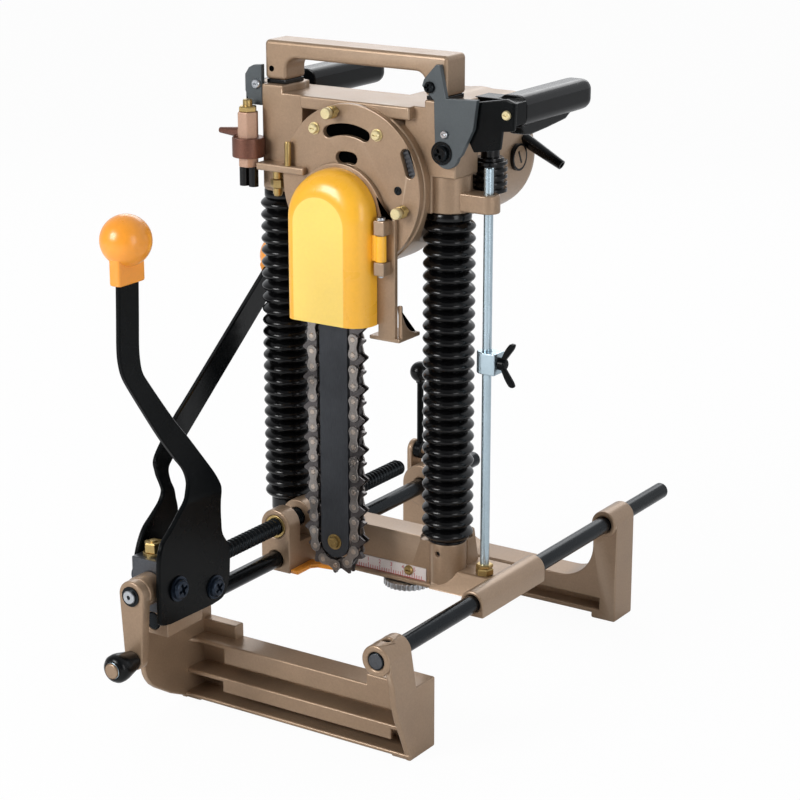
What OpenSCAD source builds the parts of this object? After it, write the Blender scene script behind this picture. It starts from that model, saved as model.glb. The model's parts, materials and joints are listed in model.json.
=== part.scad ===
// Portable chain mortiser for timber framing.
// A motor head slides down two sprung columns and drives a cutting chain into the timber.
// The timber lies under the saddle, held between a front jaw and a rear fence on two guide rods.
// X runs across the machine, Y from the crank to the fence and Z up, in millimetres.
// The origin is the mortise centre on top of the timber, level with the saddle's underside.

/* [Stand] */
// Height of the saddle's underside above the ground
saddle_h = 69.5; // [66:0.5:90]
// Distance of the right guide rod from the mortise centre
rod_right = 116.6; // [115:0.1:126]
// Distance of the left guide rod from the mortise centre
rod_left = 48.7; // [47:0.1:50]
// Guide rod diameter
rod_d = 12.5; // [10:0.5:13]
// Height of the guide rods' axes above the saddle's underside
rod_h = 9.5; // [9:0.1:11]
// Length of the right guide rod
rod_len = 406.6; // [380:1:460]
// Length of the left guide rod
left_rod_len = 418; // [400:1:460]

/* [Front jaw] */
// Distance of the clamping face in front of the chain
jaw_reach = 69; // [60:1:80]
// Depth of the jaw's top edge below the saddle's underside
jaw_drop = 26; // [22:0.5:30]
// Depth of the jaw's flanges, front to rear
jaw_depth = 29; // [24:1:36]
// Thickness of the clamping wall
jaw_wall = 9.5; // [5:0.5:12]
// Thickness of the jaw's ribs
rib_t = 3.5; // [3:0.5:6]
// Diameter of the right guide rod's boss
boss_d = 22; // [19:0.5:26]
// Length of the right guide rod's boss
boss_len = 27; // [20:1:36]
// Thickness of the jaw's end plates
end_plate_t = 4.5; // [3:0.5:10]

/* [Feed crank] */
// Feed screw diameter
screw_d = 12.5; // [10:0.5:13]
// Height of the feed screw above the guide rods
screw_rise = 25; // [23:0.5:28]
// Length of the feed screw behind its journal block
screw_len = 266; // [240:1:300]
// Length of the screw's journal block
journal_len = 38; // [34:1:40]
// Crank length from hub to knob
crank_len = 46; // [40:1:54]
// Diameter of the crank knob
knob_d = 20; // [16:1:26]
// Length of the crank knob
knob_len = 21; // [16:1:30]

/* [Levers] */
// Width of the flat lever bars
lever_w = 20; // [18:0.5:24]
// Thickness of the flat lever bars
lever_t = 4; // [3:0.5:6]
// Diameter of the big lever balls
ball_d = 34; // [28:0.5:38]
// Diameter of the lever pivot screws
pivot_d = 8; // [6:0.5:9]

/* [Rear fence] */
// Distance of the fence's face behind the chain
fence_y = 189; // [180:1:200]
// Thickness of the fence, front to rear
fence_t = 28; // [22:1:36]
// Depth of the fence beam's top below the saddle's underside
fence_drop = 39; // [34:0.5:44]
// Diameter of the fence's ring on the right guide rod
ring_d = 20.6; // [18:0.2:24]
// Diameter of the fence's boss on the left guide rod
fence_boss_d = 34; // [30:0.5:36]
// Diameter of the fence lever's ball
fence_ball_d = 16.5; // [12:0.5:20]

/* [Saddle] */
// Width of the sleeve on the right guide rod
sleeve_w = 18.4; // [17:0.2:22]
// Reach of that sleeve in front of the chain
sleeve_front = 5; // [2:1:10]
// Reach of that sleeve behind the chain
sleeve_rear = 81.3; // [70:0.1:90]
// Distance of the cross wall behind the chain
wall_y = 28; // [26:0.5:30]
// Height of the cross wall
wall_h = 36.5; // [33:0.5:42]
// Thickness of the right deck
deck_t = 14; // [8:0.5:15]
// Diameter of the column feet
foot_d = 27.4; // [26:0.2:31]
// Height of the column feet
foot_h = 34; // [30:0.5:36]
// Diameter of the knurled guide roller that lies under the saddle
roller_d = 36; // [30:0.5:40]

/* [Columns] */
// Distance between the column axes
col_gap = 138.4; // [137:0.2:142]
// Distance of the columns behind the chain
col_y = 38.7; // [37.5:0.1:41]
// Column diameter
col_d = 20; // [18:0.5:21]
// Bore of the hollow columns
col_bore = 15; // [12:0.5:16]
// Distance of the column tops below the sprocket
col_below = 24; // [22:1:43]
// Outer diameter of the head's sleeves
tube_d = 26; // [24.5:0.5:26.5]
// Distance of the sleeves' lower ends below the sprocket
tube_drop = 125; // [108:1:127]
// Outer diameter of the bellows' ribs
bellows_d = 36.8; // [34:0.2:38]
// Number of bellows ribs
bellows_ribs = 26; // [20:1:32]

/* [Depth stop] */
// Distance of the depth rod from the right column
depth_gap = 31.2; // [29.8:0.2:33.8]
// Depth rod diameter
depth_d = 6.5; // [5:0.5:8]
// Height of the depth rod's top above the sprocket
depth_rise = 39; // [30:1:44]
// Mortise depth that the stop collar is set to
plunge = 97; // [70:1:98]
// Width of the stop collar
collar_w = 14; // [12:0.5:18]
// Height of the stop collar
collar_h = 15.5; // [12:0.5:20]

/* [Head] */
// Height of the column sockets' lower ends above the sprocket
head_rise = 6.3; // [4:0.1:8]
// Height of the head casting's top above the sprocket
head_h = 84; // [82.5:0.5:86]
// Diameter of the column sockets
socket_d = 31.4; // [30:0.2:34]
// Radius of the gear case
case_r = 58; // [56:0.5:60]
// Thickness of the front cover
cover_t = 5; // [3:0.5:5.5]
// Radius of the motor housing
motor_r = 45; // [43:0.5:46]
// Length of the motor housing's straight barrel
motor_len = 98; // [94:1:110]
// Height of the carry handle
handle_h = 27.5; // [26:0.5:32]
// Thickness of the carry handle's bar
handle_bar = 12; // [10:0.5:13]
// Depth of the carry handle, front to rear
handle_d = 24.3; // [20:0.1:28]
// Length of the hand grips
grip_len = 94; // [86:1:104]
// Width of the hand grips
grip_w = 22; // [18:0.5:24]

/* [Chain] */
// Height of the sprocket above the timber
sprocket_h = 268; // [266:0.5:270]
// Height of the guide bar's nose centre
nose_h = 31; // [28:0.5:36]
// Width of the guide bar
bar_w = 24; // [20:0.5:25]
// Thickness of the guide bar
bar_t = 6.4; // [5:0.2:6.4]
// Width of the whole chain loop
chain_w = 52; // [46:0.5:54]
// Thickness of the chain, front to rear
chain_t = 9; // [7:0.5:9]
// Chain pitch
chain_pitch = 16; // [12:0.5:20]

/* [Chain guard] */
// Width of the guard
guard_w = 64; // [60:0.5:65]
// Depth of the guard in front of the chain plane
guard_d = 15; // [13:0.5:18]
// Distance of the guard's lower edge below the sprocket
guard_drop = 73; // [63:0.5:76]
// Wall thickness of the guard
guard_t = 2.5; // [1.5:0.25:3]
// Diameter of the hinge pin
pin_d = 4; // [3:0.25:4.5]

/* [Hidden] */
$fn = 64;

// Colours
tan_paint = [0.74, 0.6, 0.48];
black_paint = [0.08, 0.08, 0.08];
steel = [0.6, 0.62, 0.64];
dark_steel = [0.3, 0.31, 0.32];
brass = [0.83, 0.68, 0.35];
orange_plastic = [0.96, 0.56, 0.16];
yellow_plastic = [1, 0.76, 0.2];
plate_grey = [0.4, 0.44, 0.46];
copper = [0.62, 0.4, 0.3];
rubber = [0.06, 0.06, 0.06];

// Clearances: a fixed fit, a running fit, a loose gap and the overlap that joins shapes within one piece
fit = 0.03;
run = 0.05;
loose = 0.3;
lap = 0.5;

// Places of the stand
floor_z = -saddle_h;
left_x = -rod_left;
right_x = rod_right;
screw_z = rod_h + screw_rise;
jaw_y = -jaw_reach;
jaw_top = -jaw_drop;
flange_y = jaw_y - jaw_depth;
boss_front = flange_y - 26.6;
boss_rear = boss_front + boss_len;
jaw_right = right_x + boss_d / 2;
jaw_h = jaw_top - floor_z;
lip_y = flange_y + 7;
lip_low = jaw_top - 0.333 * jaw_h;
mid_top = jaw_top - 0.49 * jaw_h;
mid_low = jaw_top - 0.747 * jaw_h;
base_y = flange_y - 3;
end_top = jaw_top + 7.5;
step_x = right_x - 30.6;
journal_rear = jaw_y - 43;
journal_front = journal_rear - journal_len;
block_left = 17;
block_right = 13;
block_top = screw_z + 18.5;
jaw_left = left_x - block_left - loose;
left_plate_front = journal_front + 4.7;
bolt_x = left_x - 7;
bolt_y = journal_front + 12;
collar_t = 5;
collar_d = 18;

// Places of the crank
hub_d = 22;
hub_len = 14.7;
stub_d = 8;
hub_front = journal_front - loose - hub_len;
arm_t = 7;
arm_front = hub_front - arm_t;
arm_low_d = 15;
crank_low = screw_z - crank_len;
knob_pin_d = 6;
knob_rear = arm_front - loose;
knob_front = knob_rear - knob_len;
nut_t = 3;

// Places of the levers
pivot_y = journal_front + 7;
pivot_z = screw_z;
clamp_x = left_x + block_right + loose + lever_t / 2;
release_x = left_x - block_left - 2.7 * loose - lever_t / 2;
release_y = pivot_y + 9;
clamp_bend_x = clamp_x - 8.5;
clamp_ball_y = pivot_y - 29;
clamp_ball_z = pivot_z + 245;
release_ball_x = release_x - 47;
release_ball_y = pivot_y + 239;
release_ball_z = pivot_z + 173;
link_y = pivot_y + 40;
link_z = pivot_z - 12;
link_d = 6;
neck_h = ball_d * 0.82;

// Places of the rear fence
fence_rear = fence_y + fence_t;
beam_top = -fence_drop;
fence_left = left_x - 19;
fence_right = right_x + ring_d / 2;
lug_t = 4.7;
fence_lever_x = fence_left + lug_t + loose + 2.85;
fence_lever_y = fence_y + fence_t / 2;
fence_lever_z = rod_h + fence_boss_d / 2 + 7;
fence_ball_z = fence_lever_z + 65;
fence_pin_d = 6;
hub_w = 5.7;

// Places of the saddle
block_r = 12.7;
saddle_front = -9;
saddle_rear = 60;
notch_front = 5;
notch_rear = 18;
col_x = col_gap / 2;
foot_floor = 5;
roller_x = 37.6;
roller_y = wall_y + 8;
roller_low = -5;
roller_top = -0.7;
roller_axle_d = 6;
roller_axle_top = 10;
wall_t = 22;
nut_bush_d = 17;
left_foot_h = foot_h - 2;
ledge_front = wall_y - 4;
ledge_h = 3;
scale_left = -4;
scale_right = 58.3;
scale_screw_x = 44;
scale_screw_z = 9;
set_screw_z = foot_h - 7.5;
scale_t = 0.8;

// Places of the head
head_low = sprocket_h + head_rise;
head_top = sprocket_h + head_h;
col_top = sprocket_h - col_below;
tube_low = sprocket_h - tube_drop;
depth_x = col_x + depth_gap;
depth_top = sprocket_h + depth_rise;
tube_top = head_top - 7;
tube_bore = col_d + 2 * run;
head_front = 14;
case_rear = 50;
plate_back = 20.5;
plate_t = 4;
cover_front = head_front - cover_t;
cover_r = case_r - 1;
cover_x = 7;
case_z = sprocket_h + 21;
lower_case_r = 40;
motor_x = 20;
motor_z = sprocket_h + 26.25;
motor_front = 60;
motor_rear = motor_front + motor_len;
motor_wall = 4;
flange_r = motor_r + 2;
dome_len = 14;
brush_y = motor_rear - 21.5;
brush_z = motor_z + 1;
lug_low = head_low + 1.7;
lug_h = 13;
collar_top = lug_low - plunge;
gasket_t = 3;
handle_low = head_top + gasket_t;
handle_left = -73;
handle_right = 78;
handle_front = plate_back + 0.2;
foot_left = -55;
foot_right = 60;
grip_front = 58;
left_grip_front = grip_front + 18;
grip_rear = grip_front + grip_len;
grip_z = head_top - 8.2;
grip_h = 21.5;
right_grip_x = 107;
left_grip_x = -80;
shelf_top = sprocket_h + 30.5;
shelf_t = 5.5;
shelf_left = -70;
oiler_x = -79;
oiler_y = 8;
boot_x = right_grip_x - 21;
boot_y = motor_front + 4;
boot_top = grip_z - grip_h / 2 - 2.5;
trigger_y = grip_front + 7;
trigger_z = grip_z - grip_h / 2 + 2.5;
trigger_w = 12;
trigger_pin_d = 4;
recess_top = trigger_z + 8;

// Places of the drive
gear_module = 1.5;
pinion_teeth = 8;
gear_teeth = 36;
gear_front = 24;
gear_w = 10;
mesh_angle = atan2(motor_z - sprocket_h, motor_x);
spindle_d = 12;
shaft_d = 8;
front_bearing_y = 15;
rear_bearing_y = 41;
bearing_w = 7;
spindle_bearing_d = 26;
shaft_bearing_d = 19;
cavity_front = 22.5;
cavity_rear = 40;
field_r = motor_r - 14;
core_r = field_r - 1.5;
core_front = motor_front + 10;
core_len = 55;

// Places of the chain and its guard
guard_low = sprocket_h - guard_drop;
bar_r = bar_w / 2;
chain_in = bar_r + 0.4;
chain_out = chain_w / 2;
bracket_front = chain_t / 2 + 0.5;
bracket_r = guard_w / 2 + 4.8;
guard_r = guard_w / 2;
guard_back = bracket_front - loose;
guard_arch = sprocket_h + 2;
hinge_x = guard_r + 6.4;
barrel_low = guard_low + 46.8;
barrel_top = barrel_low + 18;
lug_w = 8.6;
shoe_z = guard_low - 11;
shoe_right = 50;
shoe_rear = 32;

// A box between two corners
module block(low, high) {
    translate(low) cube(high - low);
}

// A round bar along X, Y or Z
module bar_x(d, x0, x1, y, z) {
    translate([x0, y, z]) rotate([0, 90, 0]) cylinder(d = d, h = x1 - x0);
}
module bar_y(d, y0, y1, x, z) {
    translate([x, y0, z]) rotate([-90, 0, 0]) cylinder(d = d, h = y1 - y0);
}
module bar_z(d, z0, z1, x, y) {
    translate([x, y, z0]) cylinder(d = d, h = z1 - z0);
}

// A hexagonal bar along Z or Y, given across its flats
module hex_z(af, z0, z1, x, y) {
    translate([x, y, z0]) cylinder(d = af / cos(30), h = z1 - z0, $fn = 6);
}
module hex_y(af, y0, y1, x, z) {
    translate([x, y0, z]) rotate([-90, 0, 0]) cylinder(d = af / cos(30), h = y1 - y0, $fn = 6);
}

// A slab cut from an outline in Y and Z, or in X and Z
module slab_x(x0, x1) {
    translate([x0, 0, 0]) rotate([90, 0, 90]) linear_extrude(x1 - x0) children();
}
module slab_y(y0, y1) {
    translate([0, y1, 0]) rotate([90, 0, 0]) linear_extrude(y1 - y0) children();
}

// A flat strap between two points, standing on its edge, run on past both ends
module strap(from, to, w, t, past) {
    run_x = to[0] - from[0];
    run_y = to[1] - from[1];
    rise = to[2] - from[2];
    flat = norm([run_x, run_y]);
    turn = [0, -atan2(rise, flat), atan2(run_y, run_x)];
    translate(from) rotate(turn) translate([-past, -t / 2, -w / 2]) cube([norm(to - from) + 2 * past, t, w]);
}

// A rectangle with rounded corners about its own centre
module round_rect(w, h, r) {
    square([w - 2 * r, h], center = true);
    square([w, h - 2 * r], center = true);
    for (sx = [-1, 1], sy = [-1, 1]) {
        translate([sx * (w / 2 - r), sy * (h / 2 - r)]) circle(r = r);
    }
}

// The outline of a bent strip of width w along some points, mitred at its bends
function strip(points, w) =
    let (last = len(points) - 1,
        ways = [for (i = [0:last - 1]) (points[i + 1] - points[i]) / norm(points[i + 1] - points[i])],
        sums = [for (i = [0:last]) ways[max(i - 1, 0)] + ways[min(i, last - 1)]],
        edges = [for (m = sums) [-m[1], m[0]] * w / (m * m)])
    concat([for (i = [0:last]) points[i] + edges[i]], [for (i = [last:-1:0]) points[i] - edges[i]]);

// Points on an arc of a circle
function arc(cx, cy, r, from, to, steps) =
    [for (i = [0:steps]) let (a = from + (to - from) * i / steps) [cx + r * cos(a), cy + r * sin(a)]];

// The concave fillet between a floor and a wall, in the corner at the origin
module fillet(r) {
    difference() {
        translate([-lap, -lap]) square(r + lap);
        translate([r, r]) circle(r = r);
    }
}

// FRONT JAW BODY

// The right end plate's front edge sweeps back from the rod boss to the foot, in Y and Z
jaw_sweep = [[boss_front + 1.7, rod_h - 9], [boss_front + 5.4, rod_h - 19], [boss_front + 7, rod_h - 33],
    [boss_front + 10.7, rod_h - 44.6], [boss_front + 16.9, rod_h - 58], [base_y + 1, floor_z + 3],
    [base_y + 1.5, floor_z]];
// The left end plate's front edge is rounded off below the crank
left_sweep = [[left_plate_front, floor_z + 39], [left_plate_front + 1.2, floor_z + 33.5],
    [left_plate_front + 3.6, floor_z + 28.6], [left_plate_front + 7.2, floor_z + 23.8],
    [left_plate_front + 12.3, floor_z + 19.6], [left_plate_front + 28.8, floor_z + 9.3],
    [base_y, floor_z + 2], [base_y + 1, floor_z]];

module front_jaw() {
    base_t = 3;
    foot_gap = 2;
    foot_w = 16;
    foot_y = flange_y - 1;
    wall_y0 = jaw_y - jaw_wall;
    corner_r = 6;
    stub_right = jaw_left + 33;
    stub_h = 10;
    lip_left = jaw_left + 31;
    low_lip = [jaw_left + 35, right_x - 5.6];
    base_low = floor_z + foot_gap;
    set_d = 6;
    color(tan_paint) difference() {
        union() {
            block([jaw_left, wall_y0, base_low], [jaw_right, jaw_y, jaw_top]);
            block([jaw_left, lip_y, jaw_top - rib_t], [jaw_right, jaw_y, jaw_top]);
            block([lip_left, lip_y, lip_low], [jaw_right, lip_y + rib_t, jaw_top]);
            block([jaw_left, flange_y, mid_top - rib_t], [jaw_right, jaw_y, mid_top]);
            block([low_lip[0], flange_y, mid_low], [low_lip[1], flange_y + rib_t, mid_top]);
            block([jaw_left, base_y, base_low], [jaw_right, jaw_y, base_low + base_t]);
            block([jaw_left, foot_y, floor_z], [jaw_left + foot_w, jaw_y, base_low + lap]);
            block([jaw_right - foot_w, foot_y, floor_z], [jaw_right, jaw_y, base_low + lap]);
            block([step_x, lip_y, lip_low], [jaw_right, jaw_y, end_top]);
            block([jaw_left, wall_y0, jaw_top - lap], [stub_right, jaw_y, jaw_top + stub_h]);
            slab_x(jaw_right - end_plate_t, jaw_right) polygon(concat([[jaw_y, floor_z], [jaw_y, end_top],
                [lip_y - 0.6, end_top], [boss_rear, rod_h], [boss_front + 2, rod_h]], jaw_sweep));
            bar_y(boss_d, boss_front, boss_rear, right_x, rod_h);
            slab_x(jaw_left, jaw_left + end_plate_t) polygon(concat([[jaw_y, floor_z], [jaw_y, 0],
                [left_plate_front, 0]], left_sweep));
            translate([jaw_left + end_plate_t, lip_y, jaw_top - rib_t]) linear_extrude(rib_t)
                mirror([0, 1, 0]) fillet(corner_r);
        }
        bar_y(rod_d + 2 * fit, boss_front - 1, boss_rear + 1, right_x, rod_h);
        bar_z(set_d, rod_h, rod_h + boss_d, right_x, boss_front + boss_len / 2);
    }
}

module guide_rods() {
    color(black_paint) {
        bar_y(rod_d, boss_front, boss_front + rod_len, right_x, rod_h);
        bar_y(rod_d, journal_front, journal_front + left_rod_len, left_x, rod_h);
    }
}

// A side face of the lever block and the pivot there: 1 for the clamp lever, -1 for the release lever
function seat_x(side) = left_x + (side > 0 ? block_right : -block_left);
function seat_y(side) = side > 0 ? pivot_y : release_y;
pivot_depth = 5.5;
bolt_d = 6;
bolt_depth = 9;

module lever_block() {
    color(dark_steel) difference() {
        block([left_x - block_left, journal_front, 0], [left_x + block_right, journal_rear, block_top]);
        bar_y(screw_d + 2 * run, journal_front - 1, journal_rear + 1, left_x, screw_z);
        bar_y(rod_d + 2 * fit, journal_front - 1, journal_rear + 1, left_x, rod_h);
        bar_z(bolt_d + 2 * fit, block_top - bolt_depth, block_top + 1, bolt_x, bolt_y);
        for (side = [-1, 1]) {
            bar_x(pivot_d + 2 * fit, seat_x(side) - pivot_depth, seat_x(side) + pivot_depth, seat_y(side),
                pivot_z);
        }
    }
}

// The brass bolt on the lever block and the set screw in the right rod's boss
module jaw_screws() {
    set_y = boss_front + boss_len / 2;
    set_d = 6 - 2 * fit;
    washer_t = 2;
    head_h = 7;
    color(brass) {
        bar_z(bolt_d, block_top - bolt_depth, block_top + washer_t, bolt_x, bolt_y);
        bar_z(15, block_top, block_top + washer_t, bolt_x, bolt_y);
        hex_z(12, block_top + washer_t, block_top + washer_t + head_h, bolt_x, bolt_y);
        difference() {
            bar_z(set_d, rod_h, rod_h + boss_d / 2 - 1.5, right_x, set_y);
            bar_y(rod_d, set_y - 5, set_y + 5, right_x, rod_h);
        }
    }
}

module pivot_screw(side) {
    seat = seat_x(side);
    gap = side > 0 ? loose : 2.7 * loose;
    head_d = 15.4;
    head_t = 3.5;
    outer = seat + side * (lever_t + gap + loose);
    crown = outer + side * head_t;
    tip = seat - side * pivot_depth;
    bar_x(pivot_d, min(tip, outer), max(tip, outer), seat_y(side), pivot_z);
    bar_x(head_d, min(outer, crown), max(outer, crown), seat_y(side), pivot_z);
}
module lever_pivots() {
    color(dark_steel) {
        pivot_screw(1);
        pivot_screw(-1);
    }
}

// FEED CRANK BODY

module feed_screw() {
    color(black_paint) {
        bar_y(screw_d, journal_front - loose, journal_rear + screw_len, left_x, screw_z);
        bar_y(stub_d, arm_front - nut_t, journal_front, left_x, screw_z);
        bar_y(collar_d, journal_rear + loose, journal_rear + loose + collar_t, left_x, screw_z);
    }
}

// The arm hangs from its hub, narrows to the knob and carries the knob's pin
module crank_arm() {
    color(tan_paint) difference() {
        union() {
            bar_y(hub_d, hub_front, journal_front - loose, left_x, screw_z);
            slab_y(arm_front, hub_front + lap) {
                translate([left_x, screw_z]) circle(d = hub_d - 1);
                translate([left_x, crank_low]) circle(d = arm_low_d);
                polygon([[left_x - hub_d / 2 + 0.5, screw_z], [left_x + hub_d / 2 - 0.5, screw_z],
                    [left_x + arm_low_d / 2, crank_low], [left_x - arm_low_d / 2, crank_low]]);
            }
            bar_y(knob_pin_d, knob_front - 2, arm_front + lap, left_x, crank_low);
            bar_y(11, knob_front - 2, knob_front - loose, left_x, crank_low);
        }
        bar_y(stub_d + 2 * fit, arm_front - 1, journal_front, left_x, screw_z);
    }
}

module crank_nut() {
    color(steel) difference() {
        bar_y(15, arm_front - nut_t, arm_front, left_x, screw_z);
        bar_y(stub_d + 2 * fit, arm_front - nut_t - 1, arm_front + 1, left_x, screw_z);
    }
}

module crank_knob() {
    edge = 3;
    bore_r = knob_pin_d / 2 + run;
    color(black_paint) translate([left_x, knob_front, crank_low]) rotate([-90, 0, 0]) rotate_extrude()
        polygon(concat([[bore_r, 0]], arc(knob_d / 2 - edge, edge, edge, -90, 0, 6),
            [[knob_d / 2 - 2.5, knob_len - 4], [knob_d / 2 - 3, knob_len], [bore_r, knob_len]]));
}

// LEVER BODIES

// The plate at the foot of each lever, in Y and Z, round its pivot
clamp_foot = [[-19, -19.5], [-19.3, 4.6], [-18.4, 22.5], [-14.5, 34.8], [-0.4, 46.7], [6.7, 53.7], [13, 61],
    [20, 66], [46, 63.5], [50.5, 52], [49.7, 26], [57.8, 17], [58.2, -5], [53, -18], [44, -24], [31, -23]];
release_foot = [[-9.5, -12], [-9.5, 8], [-8.2, 17.5], [0.5, 32.5], [10, 39.7], [19, 48], [24, 56], [36, 54],
    [37.5, 36], [38, 8], [30, -12], [12, -18]];

module lever_plate(x, y, outline) {
    slab_x(x - lever_t / 2, x + lever_t / 2) difference() {
        polygon([for (p = outline) [y + p[0], pivot_z + p[1]]]);
        translate([y, pivot_z]) circle(d = pivot_d + 2 * run);
    }
}

// The clamp lever slopes inward from its foot plate, then its bar bends up to its ball, in Y and Z
clamp_slope = [[clamp_x, pivot_y + 38, pivot_z + 58], [clamp_bend_x, pivot_y + 15, pivot_z + 98]];
clamp_bar = [[pivot_y + 21, pivot_z + 90], [pivot_y - 26.8, pivot_z + 152.5], [pivot_y - 31, pivot_z + 168],
    [clamp_ball_y, clamp_ball_z - neck_h * 0.45]];
slope_w = lever_w + 3;

module clamp_lever() {
    color(black_paint) difference() {
        union() {
            lever_plate(clamp_x, pivot_y, clamp_foot);
            strap(clamp_slope[0], clamp_slope[1], slope_w, lever_t, 4);
            slab_x(clamp_bend_x - lever_t / 2, clamp_bend_x + lever_t / 2) polygon(strip(clamp_bar, lever_w));
        }
        bar_x(link_d + 2 * fit, clamp_x - lever_t, clamp_x + lever_t, link_y, link_z);
    }
}

module clamp_ball() {
    neck_w = lever_w + 3;
    hole = [clamp_bar[2], clamp_bar[3] + [0, fit]];
    color(orange_plastic) difference() {
        union() {
            translate([clamp_bend_x, clamp_ball_y, clamp_ball_z]) sphere(d = ball_d);
            translate([clamp_bend_x, clamp_ball_y, clamp_ball_z - neck_h]) linear_extrude(neck_h)
                round_rect(lever_t + 8, neck_w, 4);
        }
        slab_x(clamp_bend_x - lever_t / 2 - fit, clamp_bend_x + lever_t / 2 + fit)
            polygon(strip(hole, lever_w + 2 * fit));
    }
}

// The link screw ends flush with the plate's inner face, so that the lever can swing past the block
module link_screw() {
    inner = clamp_x - lever_t / 2;
    outer = clamp_x + lever_t / 2;
    head_d = 15.4;
    head_t = 3.5;
    color(dark_steel) {
        bar_x(link_d, inner, outer + 1, link_y, link_z);
        bar_x(head_d, outer, outer + head_t, link_y, link_z);
    }
}

// The release lever leans out past the left bellows on its way to its ball
release_path = [[release_x, release_y + 27, pivot_z + 47], [release_x - 4, release_y + 37, pivot_z + 83.5],
    [release_ball_x, release_ball_y, release_ball_z]];
release_dir = (release_path[2] - release_path[1]) / norm(release_path[2] - release_path[1]);
release_end = release_path[2] - release_dir * ball_d * 0.3;

module release_lever() {
    color(black_paint) {
        lever_plate(release_x, release_y, release_foot);
        strap(release_path[0], release_path[1], lever_w - 3, lever_t, 5);
        strap(release_path[1], release_end, lever_w, lever_t, 4);
    }
}

module release_ball() {
    root = release_path[2] - release_dir * neck_h;
    color(orange_plastic) difference() {
        union() {
            translate(release_path[2]) sphere(d = ball_d);
            strap(root, release_path[2], lever_w + 3, lever_t + 8, 0);
        }
        strap(release_path[1], release_end, lever_w + 2 * fit, lever_t + 2 * fit, 4 + fit);
    }
}

// REAR FENCE BODY

module rear_fence() {
    right_w = ring_d;
    left_w = fence_boss_d + 4;
    arch_r = 28;
    groove = [13, 12.8];
    groove_low = 4;
    lip = fence_t - groove[0] - 4;
    pin_end = fence_lever_x + hub_w / 2 + 1;
    color(tan_paint) difference() {
        union() {
            block([fence_left, fence_y, floor_z + groove_low], [fence_right, fence_rear, beam_top]);
            block([fence_left, fence_y, floor_z], [fence_left + left_w, fence_rear, rod_h]);
            block([fence_right - right_w, fence_y, floor_z], [fence_right, fence_rear, rod_h]);
            bar_y(ring_d, fence_y - 3, fence_rear, right_x, rod_h);
            bar_y(fence_boss_d, fence_y - 3, fence_rear, left_x, rod_h);
            translate([fence_left + left_w, 0, beam_top]) slab_y(fence_y, fence_rear) fillet(arch_r);
            translate([fence_right - right_w, 0, beam_top]) mirror([1, 0, 0]) slab_y(fence_y, fence_rear)
                fillet(arch_r);
            slab_x(fence_left, fence_left + lug_t) {
                translate([fence_lever_y, fence_lever_z]) circle(r = 8);
                translate([fence_lever_y - 8, rod_h - lap]) square([16, fence_lever_z - rod_h + lap]);
            }
            bar_x(fence_pin_d, fence_left + lug_t - lap, pin_end, fence_lever_y, fence_lever_z);
        }
        block([fence_left + 18, fence_y - 1, floor_z + groove_low + lip / 2 - 1.5],
            [fence_right - 14, fence_y + groove[0], floor_z + groove_low + groove[1]]);
        bar_y(rod_d + 2 * run, fence_y - 4, fence_rear + 1, right_x, rod_h);
        bar_y(rod_d + 2 * run, fence_y - 4, fence_rear + 1, left_x, rod_h);
    }
}

module fence_lever() {
    color(black_paint) difference() {
        union() {
            bar_x(14, fence_lever_x - hub_w / 2, fence_lever_x + hub_w / 2, fence_lever_y, fence_lever_z);
            bar_z(5.2, fence_lever_z + 3, fence_ball_z, fence_lever_x, fence_lever_y);
        }
        bar_x(fence_pin_d + 2 * run, fence_lever_x - hub_w, fence_lever_x + hub_w, fence_lever_y,
            fence_lever_z);
    }
}

module fence_ball() {
    color(black_paint) translate([fence_lever_x, fence_lever_y, fence_ball_z]) difference() {
        sphere(d = fence_ball_d);
        translate([0, 0, -fence_ball_d]) cylinder(d = 5.2 + 2 * fit, h = fence_ball_d + fit);
    }
}

// SADDLE BODY

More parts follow.
